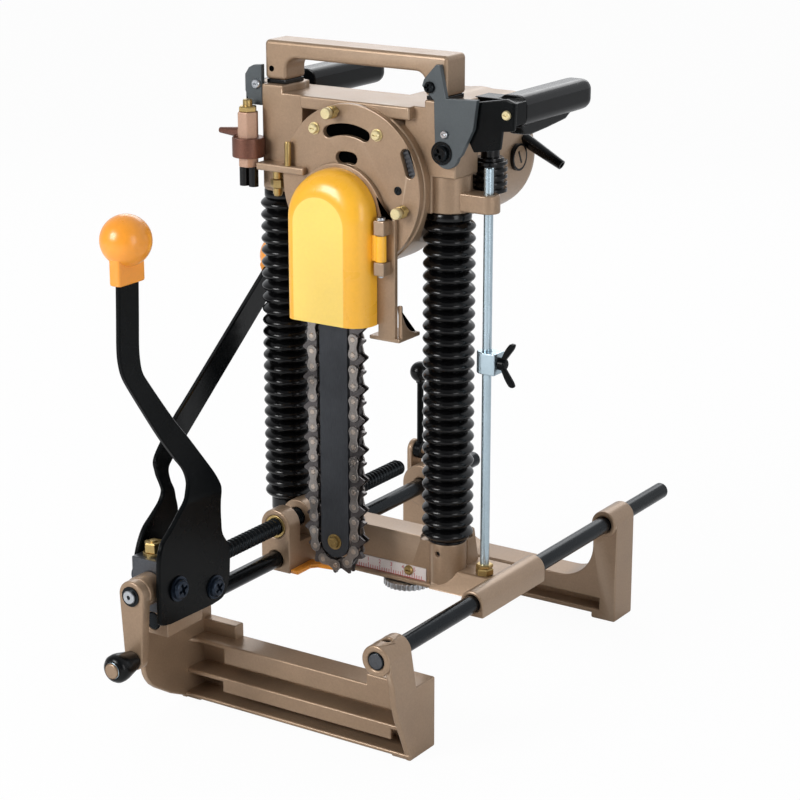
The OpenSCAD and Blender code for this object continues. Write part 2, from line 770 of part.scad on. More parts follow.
module saddle() {
    deck_front = 22;
    deck_rear = 66;
    wall_rear = wall_y + wall_t;
    color(tan_paint) difference() {
        union() {
            slab_y(saddle_front, saddle_rear) {
                translate([left_x, screw_z]) circle(r = block_r);
                translate([left_x - block_r, 0]) square([2 * block_r, screw_z]);
            }
            block([left_x, wall_y, 0], [col_x - 6, wall_rear, wall_h]);
            block([scale_left, ledge_front, 0], [col_x, wall_y + lap, ledge_h]);
            bar_z(foot_d, 0, left_foot_h, -col_x, col_y);
            bar_z(foot_d, 0, foot_h, col_x, col_y);
            block([-col_x, col_y - 10, 0], [left_x, col_y + 10, left_foot_h - 10]);
            slab_x(col_x - 6, right_x) polygon([[deck_front, 0], [deck_rear, 0], [deck_rear, deck_t],
                [deck_front + 11, deck_t]]);
            slab_y(-sleeve_front, sleeve_rear) {
                translate([right_x, rod_h]) circle(d = sleeve_w);
                translate([right_x - sleeve_w / 2, 0]) square([sleeve_w, rod_h]);
            }
            slab_x(col_x, col_x + 12) polygon([[col_y + 8, 0], [deck_rear, 0], [col_y + 18, 40],
                [col_y + 8, 40]]);
        }
        block([left_x - 2 * block_r, notch_front, screw_z - 13],
            [left_x + 2 * block_r, notch_rear, screw_z + 20]);
        bar_y(screw_d + 1, saddle_front - 1, saddle_rear + 1, left_x, screw_z);
        bar_y(nut_bush_d + 2 * fit, saddle_front - 1, notch_front + 1, left_x, screw_z);
        bar_y(rod_d + 2 * run, saddle_front - 1, saddle_rear + 1, left_x, rod_h);
        bar_y(rod_d + 2 * run, -sleeve_front - 1, sleeve_rear + 1, right_x, rod_h);
        for (side = [-1, 1]) bar_z(col_d + 2 * fit, foot_floor, wall_h + 10, side * col_x, col_y);
        bar_z(bellows_d + 1, left_foot_h, wall_h + 20, -col_x, col_y);
        bar_z(bellows_d + 1, foot_h, wall_h + 20, col_x, col_y);
        bar_y(3.6, col_y - foot_d, col_y, col_x, set_screw_z);
        bar_z(roller_axle_d + 2 * run, -1, roller_axle_top + 1, roller_x, roller_y);
        bar_z(depth_d + 2 * fit, 3, deck_t + 1, depth_x, col_y);
        bar_y(2.4, wall_y - 1, wall_y + 2.5, scale_screw_x, scale_screw_z);
    }
}

module columns() {
    color(steel) for (side = [-1, 1]) difference() {
        bar_z(col_d, foot_floor, col_top, side * col_x, col_y);
        bar_z(col_bore, foot_floor - 1, col_top + 1, side * col_x, col_y);
    }
}

// A corrugated wall of even thickness, with a narrow cuff round the column's foot and a plain one at the top
module bellows(side, low, first_rib) {
    high = head_low - 0.1;
    cuff = 6;
    rib_r = bellows_d / 2;
    inner = tube_d / 2 + loose;
    wall = 1.2;
    cuff_r = foot_d / 2 + 0.1;
    cuff_in = col_d / 2 + loose;
    top_r = inner + wall + 1;
    rib_n = round((high - cuff - first_rib) / (head_low - foot_h) * bellows_ribs * 1.05);
    pitch = (high - cuff - first_rib) / rib_n;
    ribs = [for (i = [0:rib_n - 1]) first_rib + i * pitch];
    outside = [for (z = ribs, p = [[inner + wall, 0], [rib_r, 0.32], [rib_r, 0.68]])
        [p[0], z + p[1] * pitch]];
    inside = [for (i = [rib_n - 1:-1:0], p = [[rib_r - wall, 0.62], [rib_r - wall, 0.38], [inner, 0]])
        [p[0], ribs[i] + p[1] * pitch]];
    color(rubber) translate([side * col_x, col_y, 0]) rotate_extrude() polygon(concat(
        [[cuff_in, low], [cuff_r, low], [cuff_r, first_rib - wall]], outside,
        [[top_r, high - cuff], [top_r, high], [inner, high], [inner, high - cuff]], inside,
        [[cuff_in, first_rib - wall]]));
}
module left_bellows() {
    bellows(-1, left_foot_h + 0.1, screw_z + screw_d / 2 + 1);
}
module right_bellows() {
    bellows(1, foot_h + 0.1, foot_h + 2.2);
}

// The return springs inside the columns, as plain tubes of the coils' outer and inner size
module return_springs() {
    color(steel) for (side = [-1, 1]) difference() {
        bar_z(col_bore - 2 * loose, foot_floor, tube_top - loose, side * col_x, col_y);
        bar_z(col_bore - 5, foot_floor - 1, tube_top + 1, side * col_x, col_y);
    }
}

module depth_rod() {
    color(steel) bar_z(depth_d, 3, depth_top, depth_x, col_y);
}

module scale_plate() {
    color([0.9, 0.88, 0.86]) difference() {
        block([scale_left, wall_y - scale_t, ledge_h], [scale_right, wall_y, ledge_h + 9.5]);
        bar_y(2.4, wall_y - 2, wall_y + 1, scale_screw_x, scale_screw_z);
    }
}

// The depth rod's nut and the scale's screw
module saddle_fasteners() {
    color(brass) {
        difference() {
            hex_z(11.4, deck_t, deck_t + 8, depth_x, col_y);
            bar_z(depth_d + 2 * fit, deck_t - 1, deck_t + 9, depth_x, col_y);
        }
        bar_y(7.2, wall_y - scale_t - 2.4, wall_y - scale_t, scale_screw_x, scale_screw_z);
        bar_y(2.4 - 2 * fit, wall_y - scale_t - 1, wall_y + 2, scale_screw_x, scale_screw_z);
    }
}

module index_strip() {
    edge = left_x + block_r;
    color(orange_plastic) translate([0, 0, 0.5]) linear_extrude(3) polygon([[edge, saddle_front + 1],
        [edge + 6.5, saddle_front + 1], [edge + 6.5, 8], [edge + 10, 12], [edge + 22, 14], [edge + 22, 19],
        [edge, 19]]);
}

module feed_nut() {
    color(brass) difference() {
        bar_y(nut_bush_d, saddle_front, notch_front, left_x, screw_z);
        bar_y(screw_d + 2 * run, saddle_front - 1, notch_front + 1, left_x, screw_z);
    }
}

// The knurled roller lies flat under the saddle and turns on a stub in the cross wall
module guide_roller() {
    notches = 30;
    notch_d = 2.2;
    color(steel) difference() {
        union() {
            bar_z(roller_d, roller_low, roller_top, roller_x, roller_y);
            bar_z(roller_axle_d, roller_top - lap, roller_axle_top, roller_x, roller_y);
        }
        for (i = [0:notches - 1]) {
            a = i * 360 / notches;
            bar_z(notch_d, roller_low - 1, roller_top + 1, roller_x + roller_d / 2 * cos(a),
                roller_y + roller_d / 2 * sin(a));
        }
    }
}

// DEPTH STOP BODIES

module stop_collar() {
    low = collar_top - collar_h;
    mid = collar_top - collar_h / 2;
    color(steel) difference() {
        union() {
            bar_z(collar_w, low, collar_top, depth_x, col_y);
            block([depth_x, col_y - collar_w / 2, low],
                [depth_x + collar_w / 2 + 3, col_y + collar_w / 2, collar_top]);
        }
        bar_z(depth_d + 2 * run, low - 1, collar_top + 1, depth_x, col_y);
        bar_x(4 + 2 * run, depth_x, depth_x + collar_w, col_y, mid);
    }
}

module wing_screw() {
    mid = collar_top - collar_h / 2;
    hub = depth_x + collar_w / 2 + 3 + loose;
    color(black_paint) {
        bar_x(4, depth_x + depth_d / 2 + loose, hub + 2, col_y, mid);
        bar_x(9, hub, hub + 5, col_y, mid);
        for (side = [-1, 1]) {
            strap([hub + 5, col_y, mid + side * 2], [hub + 10.5, col_y, mid + side * 15], 6, 2.6, 1);
        }
    }
}

// HEAD BODY

module case_outline(upper_r, lower_r) {
    translate([cover_x, case_z]) circle(r = upper_r);
    translate([0, sprocket_h]) circle(r = lower_r);
}

module head_casting() {
    shoulder_low = sprocket_h + 32;
    deck_top = case_z + case_r;
    deck_low = deck_top - 9;
    wall_front = plate_back - plate_t;
    left_end = -38;
    right_start = 44;
    shelf_front = 4;
    shelf_low = shelf_top - shelf_t;
    shelf_mid = cover_x - case_r;
    color(tan_paint) difference() {
        union() {
            for (side = [-1, 1]) bar_z(socket_d, head_low, head_top, side * col_x, col_y);
            slab_y(head_front, case_rear) case_outline(case_r, lower_case_r);
            block([handle_left, wall_front, head_low + 4], [foot_left, case_rear, head_top]);
            block([foot_left - lap, wall_front, shelf_low], [left_end, case_rear, deck_top]);
            block([right_start, plate_back, head_low], [foot_right + lap, case_rear, deck_top]);
            block([foot_right, plate_back, head_low], [col_x - 3, case_rear, shoulder_low + lap]);
            block([foot_right, plate_back, shoulder_low], [col_x + socket_d / 2, case_rear, head_top]);
            block([handle_left, plate_back, deck_low], [handle_right, motor_front, deck_top]);
            block([left_end - lap, head_front, deck_low], [foot_right - 8, plate_back + lap, deck_top]);
            bar_y(2 * flange_r, case_rear - lap, motor_front, motor_x, motor_z);
            block([col_x, col_y - 8, lug_low], [depth_x, col_y + 8, lug_low + lug_h]);
            bar_z(16, lug_low, lug_low + lug_h, depth_x, col_y);
            block([shelf_left, shelf_front, shelf_low], [shelf_mid, plate_back + lap, shelf_top]);
            block([shelf_left, shelf_front, shelf_low], [shelf_mid + 22, cover_front - fit, shelf_top]);
        }
        for (side = [-1, 1]) {
            bar_z(tube_d + 2 * fit, head_low - 1, tube_top, side * col_x, col_y);
            bar_z(bellows_d + 2, case_z - case_r - 1, head_low, side * col_x, col_y);
        }
        slab_y(cavity_front, cavity_rear) {
            translate([0, sprocket_h]) circle(r = lower_case_r - 6);
            translate([motor_x, motor_z]) circle(r = 20);
        }
        bar_y(spindle_bearing_d + 2 * fit, head_front - 1, cavity_front + 1, 0, sprocket_h);
        bar_y(spindle_bearing_d + 2 * fit, cavity_rear - 1, rear_bearing_y + bearing_w, 0, sprocket_h);
        bar_y(shaft_bearing_d + 2 * fit, front_bearing_y, cavity_front + 1, motor_x, motor_z);
        bar_y(shaft_bearing_d + 2 * fit, cavity_rear - 1, rear_bearing_y + bearing_w, motor_x, motor_z);
        bar_y(shaft_d + 4, cavity_rear, motor_front + 1, motor_x, motor_z);
        bar_y(2 * (motor_r - motor_wall), case_rear + 3, motor_front + 1, motor_x, motor_z);
        bar_z(depth_d + 2 * run, lug_low - 1, lug_low + lug_h + 1, depth_x, col_y);
    }
}

module head_sleeves() {
    color(steel) for (side = [-1, 1]) difference() {
        bar_z(tube_d, tube_low, tube_top, side * col_x, col_y);
        bar_z(tube_bore, tube_low - 1, tube_top + 1, side * col_x, col_y);
    }
}

// Places of the cover's screws, in X and Z
cover_screws = [[-22.5, case_z + 37.5], [29.5, case_z + 37.8]];
thumb_places = [[-6, case_z + 50.5], [51, case_z - 12.5]];

// A curved slot with round ends about the cover's own centre
module arc_slot(r, half_w, half_angle) {
    translate([cover_x - 3, case_z - 2]) {
        intersection() {
            difference() {
                circle(r = r + half_w);
                circle(r = r - half_w);
            }
            polygon([[0, 0], [2 * r * sin(-half_angle), 2 * r * cos(half_angle)],
                [2 * r * sin(half_angle), 2 * r * cos(half_angle)]]);
        }
        for (side = [-1, 1]) translate([side * r * sin(half_angle), r * cos(half_angle)])
            circle(r = half_w - 0.1);
    }
}

module front_cover() {
    color(tan_paint) slab_y(cover_front, head_front) difference() {
        case_outline(cover_r, lower_case_r - 1.5);
        arc_slot(41, 4.1, 21.8);
        arc_slot(21.7, 4.1, 13);
        translate([cover_x + 47.1, case_z + 20.5]) rotate(107.5) round_rect(20.5, 7.6, 3.7);
        translate([0, sprocket_h]) circle(d = spindle_d + 4);
        for (p = cover_screws) translate(p) circle(d = 4 + 2 * fit);
        for (p = thumb_places) translate(p) circle(d = 5 + 2 * fit);
    }
}

// Screws of the front cover and the grip plates
plate_screws = [[76.6, head_top - 34], [78.9, head_top - 21], [-77.2, head_top - 0.5]];

module head_screws() {
    color(brass) for (p = cover_screws) {
        bar_y(4, cover_front - 1, head_front, p[0], p[1]);
        bar_y(7.6, cover_front - 3, cover_front, p[0], p[1]);
    }
    color(dark_steel) for (i = [0:len(plate_screws) - 1]) {
        p = plate_screws[i];
        head_d = [16, 6, 8][i];
        bar_y(head_d, plate_back - plate_t - 3, plate_back - plate_t, p[0], p[1]);
    }
}

module thumb_bolts() {
    color(brass) for (p = thumb_places) {
        bar_y(5, cover_front - 7, head_front, p[0], p[1]);
        bar_y(9, cover_front - 11, cover_front - 7, p[0], p[1]);
    }
}

// A coil of round wire as one closed tube, with its rings swept along a helix
spring_wire = 1;
spring_turns = 3;
spring_d = 8;
spring_len = 6.4;
ring_steps = 8;
wire_sides = 6;
helix = [for (i = [0:spring_turns * ring_steps]) let (a = 360 * i / ring_steps)
    [spring_d / 2 * cos(a), spring_d / 2 * sin(a),
     spring_wire / 2 + (spring_len - spring_wire) * i / (spring_turns * ring_steps)]];
spring_gap = min([for (i = [0:len(helix) - 1 - ring_steps]) norm(helix[i + ring_steps] - helix[i])])
    - spring_wire;
echo(thumb_spring_gap = spring_gap);

module coil() {
    rings = len(helix);
    points = [for (i = [0:rings - 1], s = [0:wire_sides - 1]) let (
        a = 360 * i / ring_steps,
        b = 360 * s / wire_sides,
        r = spring_d / 2 + spring_wire / 2 * cos(b))
        [r * cos(a), r * sin(a), helix[i][2] + spring_wire / 2 * sin(b)]];
    sides = [for (i = [0:rings - 2], s = [0:wire_sides - 1], half = [0, 1]) let (
        p = i * wire_sides + s,
        q = i * wire_sides + (s + 1) % wire_sides)
        half == 0 ? [p, p + wire_sides, q] : [q, p + wire_sides, q + wire_sides]];
    first = [for (s = [1:wire_sides - 2]) [0, s, s + 1]];
    base = (rings - 1) * wire_sides;
    last = [for (s = [1:wire_sides - 2]) [base, base + s + 1, base + s]];
    polyhedron(points = points, faces = concat(sides, first, last));
}

module thumb_springs() {
    color(steel) for (p = thumb_places) {
        translate([p[0], cover_front - 7 + 0.3, p[1]]) rotate([-90, 0, 0]) coil();
    }
}

module carry_handle() {
    high = handle_low + handle_h;
    wide = handle_right - handle_left;
    mid = (handle_left + handle_right) / 2;
    open_h = handle_h - handle_bar;
    handle_r = 3.5;
    corner_r = 8;
    hole = [4.2, 3, -67, handle_low + 7.4];
    color(tan_paint) difference() {
        slab_y(handle_front, handle_front + handle_d) difference() {
            union() {
                translate([mid, handle_low + handle_h / 2]) round_rect(wide, handle_h, handle_r);
                translate([handle_left, handle_low]) square([wide, handle_h - handle_r]);
            }
            translate([foot_left, handle_low - 1]) square([foot_right - foot_left, open_h - corner_r + 1]);
            translate([(foot_left + foot_right) / 2, handle_low + open_h - corner_r])
                round_rect(foot_right - foot_left, 2 * corner_r, corner_r - 0.1);
        }
        bar_y(hole[0], handle_front - 1, handle_front + hole[1], hole[2], hole[3]);
    }
}

module handle_gaskets() {
    color(rubber) {
        block([handle_left + 1, handle_front + 1, head_top],
            [foot_left - 1, handle_front + handle_d - 1, handle_low]);
        block([foot_right + 1, handle_front + 1, head_top],
            [handle_right - 1, handle_front + handle_d - 1, handle_low]);
    }
}

// The plates' outlines in X and in height above the head casting's top
right_plate = [[71.5, 25], [62, 14.5], [60.5, 10], [70, 1], [71, -33], [84, -42], [92, -34], [101, -16],
    [103.7, 4], [79.5, 3], [74.7, 25]];
left_plate = [[-87.4, 5.5], [-87.4, -6], [-83.5, -15.5], [handle_left, -15.5], [handle_left, 13.3],
    [-80, 12.5], [-84, 10.5]];

module grip_plates() {
    color(plate_grey) slab_y(plate_back - plate_t, plate_back) translate([0, head_top]) {
        polygon(right_plate);
        translate([80, -35]) circle(r = 9.5);
        polygon(left_plate);
    }
}

module grip_brackets() {
    low = grip_z - grip_h / 2 + 3;
    high = grip_z + grip_h / 2 - 3;
    rod_gap = depth_x + depth_d / 2 + 2.4;
    left_end = -col_x - socket_d / 2 - loose;
    outer = right_grip_x + grip_w / 2;
    boot_left = handle_right + lap;
    boot_right = right_grip_x - grip_w / 2 - loose;
    color(black_paint) {
        slab_y(plate_back, plate_back + 4) translate([0, grip_z]) polygon([[90, -7.8], [99, -23.8],
            [119, -20.3], [120.5, -7.8], [129.5, -6.8], [130.5, 11.7], [124, 14.2], [90, 8.2]]);
        block([rod_gap, plate_back + 3, low], [outer, grip_front, high]);
        block([boot_left, boot_y - 9, low], [outer, grip_front, high]);
        block([boot_left, boot_y - 9, boot_top], [boot_right, boot_y + 9, high]);
        block([left_grip_x - 10, plate_back, low], [handle_left - fit, plate_back + 3, high]);
        block([left_grip_x - 9, plate_back + 2, low], [left_end, left_grip_front, high]);
    }
}

module hand_grips() {
    color(rubber) {
        difference() {
            slab_y(grip_front, grip_rear) translate([right_grip_x, grip_z]) round_rect(grip_w, grip_h, 7);
            block([right_grip_x - trigger_w / 2 - loose, grip_front - 1, grip_z - grip_h],
                [right_grip_x + trigger_w / 2 + loose, trigger_y + 66, recess_top]);
        }
        bar_x(trigger_pin_d, right_grip_x - trigger_w / 2 - 2, right_grip_x + trigger_w / 2 + 2, trigger_y,
            trigger_z);
        slab_y(left_grip_front, left_grip_front + grip_len) translate([left_grip_x, grip_z])
            round_rect(grip_w, grip_h, 7);
    }
}

module motor_housing() {
    inner = motor_r - motor_wall;
    rear_in = motor_rear - 8;
    top_h = 44;
    color(tan_paint) difference() {
        union() {
            bar_y(2 * motor_r, motor_front, motor_rear, motor_x, motor_z);
            bar_y(2 * flange_r, motor_front, motor_front + 6, motor_x, motor_z);
            slab_y(motor_front, motor_rear) translate([motor_x + 3, motor_z + motor_r - top_h / 2 - lap])
                round_rect(64, top_h, 6);
            translate([motor_x, motor_rear - lap, motor_z]) rotate([-90, 0, 0]) rotate_extrude()
                polygon(concat([[0, 0], [motor_r, 0]], arc(motor_r - dome_len, lap, dome_len, 0, 90, 6),
                    [[0, dome_len + lap]]));
        }
        bar_y(2 * inner, motor_front - 1, rear_in, motor_x, motor_z);
        bar_y(shaft_bearing_d + 2 * fit, rear_in - 1, rear_in + bearing_w, motor_x, motor_z);
        for (side = [-1, 1]) bar_x(17 + 2 * fit, motor_x + side * motor_r - 12, motor_x + side * motor_r + 12,
            brush_y, brush_z);
    }
}

module motor_field() {
    color(dark_steel) difference() {
        bar_y(2 * (motor_r - motor_wall - fit), core_front, core_front + core_len, motor_x, motor_z);
        bar_y(2 * field_r, core_front - 1, core_front + core_len + 1, motor_x, motor_z);
    }
}

module brush_caps() {
    right = motor_x + motor_r;
    left = motor_x - motor_r;
    color(black_paint) {
        bar_x(17, right - 8, right + 1, brush_y, brush_z);
        bar_x(19.5, right + 0.05, right + 2.5, brush_y, brush_z);
        bar_x(17, left - 1, left + 8, brush_y, brush_z);
        bar_x(19.5, left - 2.5, left - 0.05, brush_y, brush_z);
    }
}

module bearing(outer, inner, y, x, z) {
    difference() {
        bar_y(outer, y, y + bearing_w, x, z);
        bar_y(inner + 2 * run, y - 1, y + bearing_w + 1, x, z);
    }
}
module bearings() {
    color(steel) {
        bearing(spindle_bearing_d, spindle_d, front_bearing_y, 0, sprocket_h);
        bearing(spindle_bearing_d, spindle_d, rear_bearing_y, 0, sprocket_h);
        bearing(shaft_bearing_d, shaft_d, front_bearing_y, motor_x, motor_z);
        bearing(shaft_bearing_d, shaft_d, rear_bearing_y, motor_x, motor_z);
        bearing(shaft_bearing_d, shaft_d, motor_rear - 8, motor_x, motor_z);
    }
}

// CHAIN

nose_roller_r = bar_r - 0.8;
nose_roller_t = bar_t / 2;
nose_bolt_d = 5;

module chain_bar() {
    high = sprocket_h - bar_r - 6;
    color(dark_steel) difference() {
        slab_y(-bar_t / 2, bar_t / 2) {
            translate([0, nose_h]) circle(r = bar_r);
            translate([-bar_r, nose_h]) square([bar_w, high - nose_h]);
        }
        bar_y(2 * bar_r + 2, -nose_roller_t / 2 - loose, nose_roller_t / 2 + loose, 0, nose_h);
        bar_y(nose_bolt_d + 2 * fit, -bar_t, bar_t, 0, nose_h);
    }
}

// A point on the chain's track at a distance s along it, and at an offset r from the track's middle
chain_run = sprocket_h - nose_h;
track_r = (chain_in + chain_out) / 2;
track_len = 2 * chain_run + 2 * PI * track_r;
chain_teeth = 2 * round(track_len / chain_pitch);
function track(s, r) =
    let (half = PI * track_r)
    s < chain_run ? [r, nose_h + s]
    : s < chain_run + half ? let (a = 180 * (s - chain_run) / half) [r * cos(a), sprocket_h + r * sin(a)]
    : s < 2 * chain_run + half ? [-r, sprocket_h - (s - chain_run - half)]
    : let (a = 180 + 180 * (s - 2 * chain_run - half) / half) [r * cos(a), nose_h + r * sin(a)];

// One cutter per half pitch, sloping up to its edge and dropping to the link
cutter = [[0, -5], [0.15, -1.5], [0.55, 0], [0.62, -4]];

module chain() {
    step = track_len / chain_teeth;
    outer = [for (i = [0:chain_teeth - 1], c = cutter) track((i + c[0]) * step, chain_out + c[1])];
    color(dark_steel) slab_y(-chain_t / 2, chain_t / 2) difference() {
        polygon(outer);
        translate([0, nose_h]) circle(r = chain_in);
        translate([0, sprocket_h]) circle(r = chain_in);
        translate([-chain_in, nose_h]) square([2 * chain_in, chain_run]);
    }
}

module nose_bolt() {
    color(brass) {
        bar_y(nose_bolt_d, -bar_t / 2 - 1, bar_t / 2 + 1, 0, nose_h);
        hex_y(8, -bar_t / 2 - 2.6, -bar_t / 2, 0, nose_h);
        hex_y(8, bar_t / 2, bar_t / 2 + 2, 0, nose_h);
    }
}

module nose_roller() {
    color(steel) difference() {
        bar_y(2 * nose_roller_r, -nose_roller_t / 2, nose_roller_t / 2, 0, nose_h);
        bar_y(nose_bolt_d + 2 * run, -bar_t, bar_t, 0, nose_h);
    }
}

// CHAIN GUARD AND ITS BRACKET

// The plate behind the guard, its hinge lugs, the pad for the guide bar and the chip shoe
module guard_bracket() {
    web_left = guard_r + 1;
    pad_high = sprocket_h - bar_r - 6;
    gusset_r = 25;
    color(tan_paint) difference() {
        union() {
            slab_y(bracket_front, cover_front) {
                translate([0, sprocket_h]) circle(r = bracket_r);
                translate([-guard_r - 1, guard_low]) square([guard_w + 2, sprocket_h - guard_low]);
                translate([web_left - lap, shoe_z]) square([14, barrel_top + 11 - shoe_z]);
            }
            for (z = [[barrel_low - loose - 9.5, barrel_low - loose],
                [barrel_top + loose, barrel_top + loose + 10.5]]) {
                block([hinge_x - 4, -3.6, z[0]], [hinge_x - 4 + lug_w, bracket_front + lap, z[1]]);
            }
            block([-bar_r + 1, bar_t / 2, guard_low + 5], [bar_r - 1, bracket_front + lap, pad_high]);
            block([25, bracket_front, shoe_z], [shoe_right, shoe_rear, shoe_z + 3]);
            translate([0, cover_front, shoe_z + 3]) slab_x(shoe_right - 3.4, shoe_right)
                fillet(gusset_r - cover_front + 7);
        }
        bar_y(spindle_d + 4, bracket_front - 1, cover_front + 1, 0, sprocket_h);
        bar_z(pin_d + 2 * fit, barrel_low - 20, barrel_top + 20, hinge_x, 0);
    }
}

module hinge_pin() {
    high = barrel_top + loose + 10.5;
    color(steel) {
        bar_z(pin_d, barrel_low - loose - 11, high + 1, hinge_x, 0);
        bar_z(pin_d + 2.6, high, high + 2, hinge_x, 0);
    }
}

module guard_outline(r) {
    translate([0, guard_arch]) circle(r = r);
    translate([-r, guard_low]) square([2 * r, guard_arch - guard_low]);
}

module chain_guard() {
    panel_r = guard_r - 11.5;
    panel_low = guard_low + 6;
    panel_t = 1.3;
    color(yellow_plastic) difference() {
        union() {
            slab_y(-guard_d, guard_back) guard_outline(guard_r);
            slab_y(-guard_d - panel_t, -guard_d + lap) {
                translate([0, guard_arch - 10]) circle(r = panel_r);
                translate([-panel_r, panel_low]) square([2 * panel_r, guard_arch - 10 - panel_low]);
            }
            bar_z(pin_d + 3.6, barrel_low, barrel_top, hinge_x, 0);
            block([guard_r - lap, -1.5, barrel_low], [hinge_x, 1.5, barrel_top]);
        }
        slab_y(-guard_d + guard_t, guard_back + 1) {
            guard_outline(guard_r - guard_t);
            translate([-guard_r + guard_t, guard_low - 1]) square([guard_w - 2 * guard_t, 3]);
        }
        bar_z(pin_d + 2 * run, barrel_low - 1, barrel_top + 1, hinge_x, 0);
    }
}

// OILER, CABLE ENTRIES AND TRIGGER

module oiler_body() {
    cup_low = shelf_top + 2.5;
    cup_h = 14;
    color(copper) difference() {
        union() {
            bar_z(23, cup_low, cup_low + cup_h, oiler_x, oiler_y);
            block([oiler_x, oiler_y + 3, cup_low + 1], [shelf_left, plate_back, cup_low + cup_h - 2]);
            hex_z(13, cup_low - 7, cup_low + lap, oiler_x, oiler_y);
            hex_z(13.6, cup_low + cup_h - lap, cup_low + cup_h + 18, oiler_x, oiler_y);
            translate([oiler_x - 25, oiler_y, cup_low + cup_h + 2.5]) rotate([0, 90, 0])
                cylinder(d1 = 4, d2 = 8, h = 20);
        }
        block([handle_left, plate_back - plate_t, shelf_top], [shelf_left + 20, plate_back + 10, head_top]);
    }
}

module oiler_fittings() {
    top = shelf_top + 34.5;
    tube_z = shelf_top - 18.5;
    color(brass) {
        hex_z(11.5, top, top + 4, oiler_x, oiler_y);
        bar_z(4.8, shelf_top, shelf_top + 17, -43, oiler_y - 2.5);
        bar_z(7, shelf_top - shelf_t - 18, shelf_top - shelf_t, -56, oiler_y + 3);
        hex_z(9, shelf_top - shelf_t - 12, shelf_top - shelf_t - 6, -56, oiler_y + 3);
    }
    color(rubber) for (side = [-1, 1]) bar_z(7, tube_z, tube_z + 14, oiler_x + side * 4, oiler_y);
}

module cord_gland() {
    tilt = 27;
    root = [motor_x + motor_r * 0.94, motor_rear - 8, motor_z + 12];
    color(rubber) difference() {
        translate(root) rotate([0, 90 + tilt, 0]) cylinder(d1 = 10, d2 = 7, h = 36);
        bar_y(2 * motor_r, motor_front, motor_rear + 5, motor_x, motor_z);
        translate(root) rotate([0, 90 + tilt, 0]) translate([0, 0, 24]) cylinder(d = 4, h = 20);
    }
}

// The boot that takes the switch leads from the right grip's bracket down into the motor
module switch_boot() {
    turn_z = motor_z - 4;
    low = turn_z - 6;
    rib_n = 5;
    rib_pitch = 4.8;
    rib_t = 2.6;
    color(rubber) difference() {
        union() {
            bar_z(13, turn_z, boot_top, boot_x, boot_y);
            bar_z(19, low, low + rib_n * rib_pitch + 1, boot_x, boot_y);
            bar_x(13, motor_x + motor_r - 3, boot_x, boot_y, turn_z);
            for (i = [0:rib_n - 1]) {
                bar_z(24, low + 1 + i * rib_pitch, low + 1 + rib_t + i * rib_pitch, boot_x, boot_y);
            }
        }
        bar_y(2 * flange_r, case_rear, motor_front + 20, motor_x, motor_z);
    }
}

module trigger() {
    color(black_paint) slab_x(right_grip_x - trigger_w / 2, right_grip_x + trigger_w / 2) difference() {
        translate([trigger_y, trigger_z])
            polygon([[-5, 3], [62, 3], [64, -2], [56, -6], [30, -8.5], [8, -10], [0, -9], [-5, -4]]);
        translate([trigger_y, trigger_z]) circle(d = trigger_pin_d + 2 * run);
    }
}

// DRIVE BODIES

// A spur gear's outline with straight-sided teeth, thinned so that the mesh runs free
module gear_outline(teeth, phase) {
    pitch_r = gear_module * teeth / 2;
    tip_r = pitch_r + 0.75 * gear_module;
    root_r = pitch_r - 1.2 * gear_module;
    root_share = 0.27;
    tip_share = 0.09;
    polygon([for (i = [0:teeth - 1], k = [[-root_share, root_r], [-tip_share, tip_r], [tip_share, tip_r],
        [root_share, root_r]]) let (a = phase + 360 * (i + k[0]) / teeth) [k[1] * cos(a), k[1] * sin(a)]]);
}

module drive_spindle() {
    sprocket_r = chain_in - 0.4;
    sprocket_t = chain_t - 4;
    color(steel) {
        bar_y(spindle_d, -sprocket_t / 2, rear_bearing_y + bearing_w - 0.5, 0, sprocket_h);
        bar_y(2 * sprocket_r, -sprocket_t / 2, sprocket_t / 2, 0, sprocket_h);
    }
}

module drive_gear() {
    color(steel) slab_y(gear_front, gear_front + gear_w) translate([0, sprocket_h]) difference() {
        gear_outline(gear_teeth, mesh_angle);
        circle(d = spindle_d + 2 * fit);
    }
}

module armature() {
    shaft_rear = motor_rear - 8 + bearing_w - 0.5;
    color(dark_steel) {
        bar_y(shaft_d, front_bearing_y + 0.5, shaft_rear, motor_x, motor_z);
        slab_y(gear_front, gear_front + gear_w) translate([motor_x, motor_z])
            gear_outline(pinion_teeth, mesh_angle + 180 + 180 / pinion_teeth);
        bar_y(2 * core_r, core_front, core_front + core_len, motor_x, motor_z);
        bar_y(34, core_front + core_len + 8, core_front + core_len + 20, motor_x, motor_z);
        bar_y(2 * core_r, motor_front + 1, motor_front + 5, motor_x, motor_z);
    }
}

front_jaw();
guide_rods();
lever_block();
jaw_screws();
lever_pivots();
feed_screw();
crank_arm();
crank_nut();
crank_knob();
clamp_lever();
clamp_ball();
link_screw();
release_lever();
release_ball();
rear_fence();
fence_lever();
fence_ball();
saddle();
columns();
left_bellows();
right_bellows();
return_springs();
depth_rod();
scale_plate();
saddle_fasteners();
index_strip();
feed_nut();
guide_roller();
stop_collar();
wing_screw();
head_casting();
head_sleeves();
front_cover();
head_screws();
thumb_bolts();
thumb_springs();
carry_handle();
handle_gaskets();
grip_plates();
grip_brackets();
hand_grips();
motor_housing();
motor_field();
brush_caps();
bearings();
chain_bar();
chain();
nose_bolt();
guard_bracket();
hinge_pin();
oiler_body();
oiler_fittings();
cord_gland();
switch_boot();
trigger();
armature();
drive_spindle();
drive_gear();
nose_roller();
chain_guard();
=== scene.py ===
"""Looks of the portable chain mortiser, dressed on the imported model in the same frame.

Shapes are made in millimetres and turned into metres when a piece is finished.
"""
import json
import math

import bmesh
import bpy
from mathutils import Matrix, Vector
from mathutils.geometry import tessellate_polygon


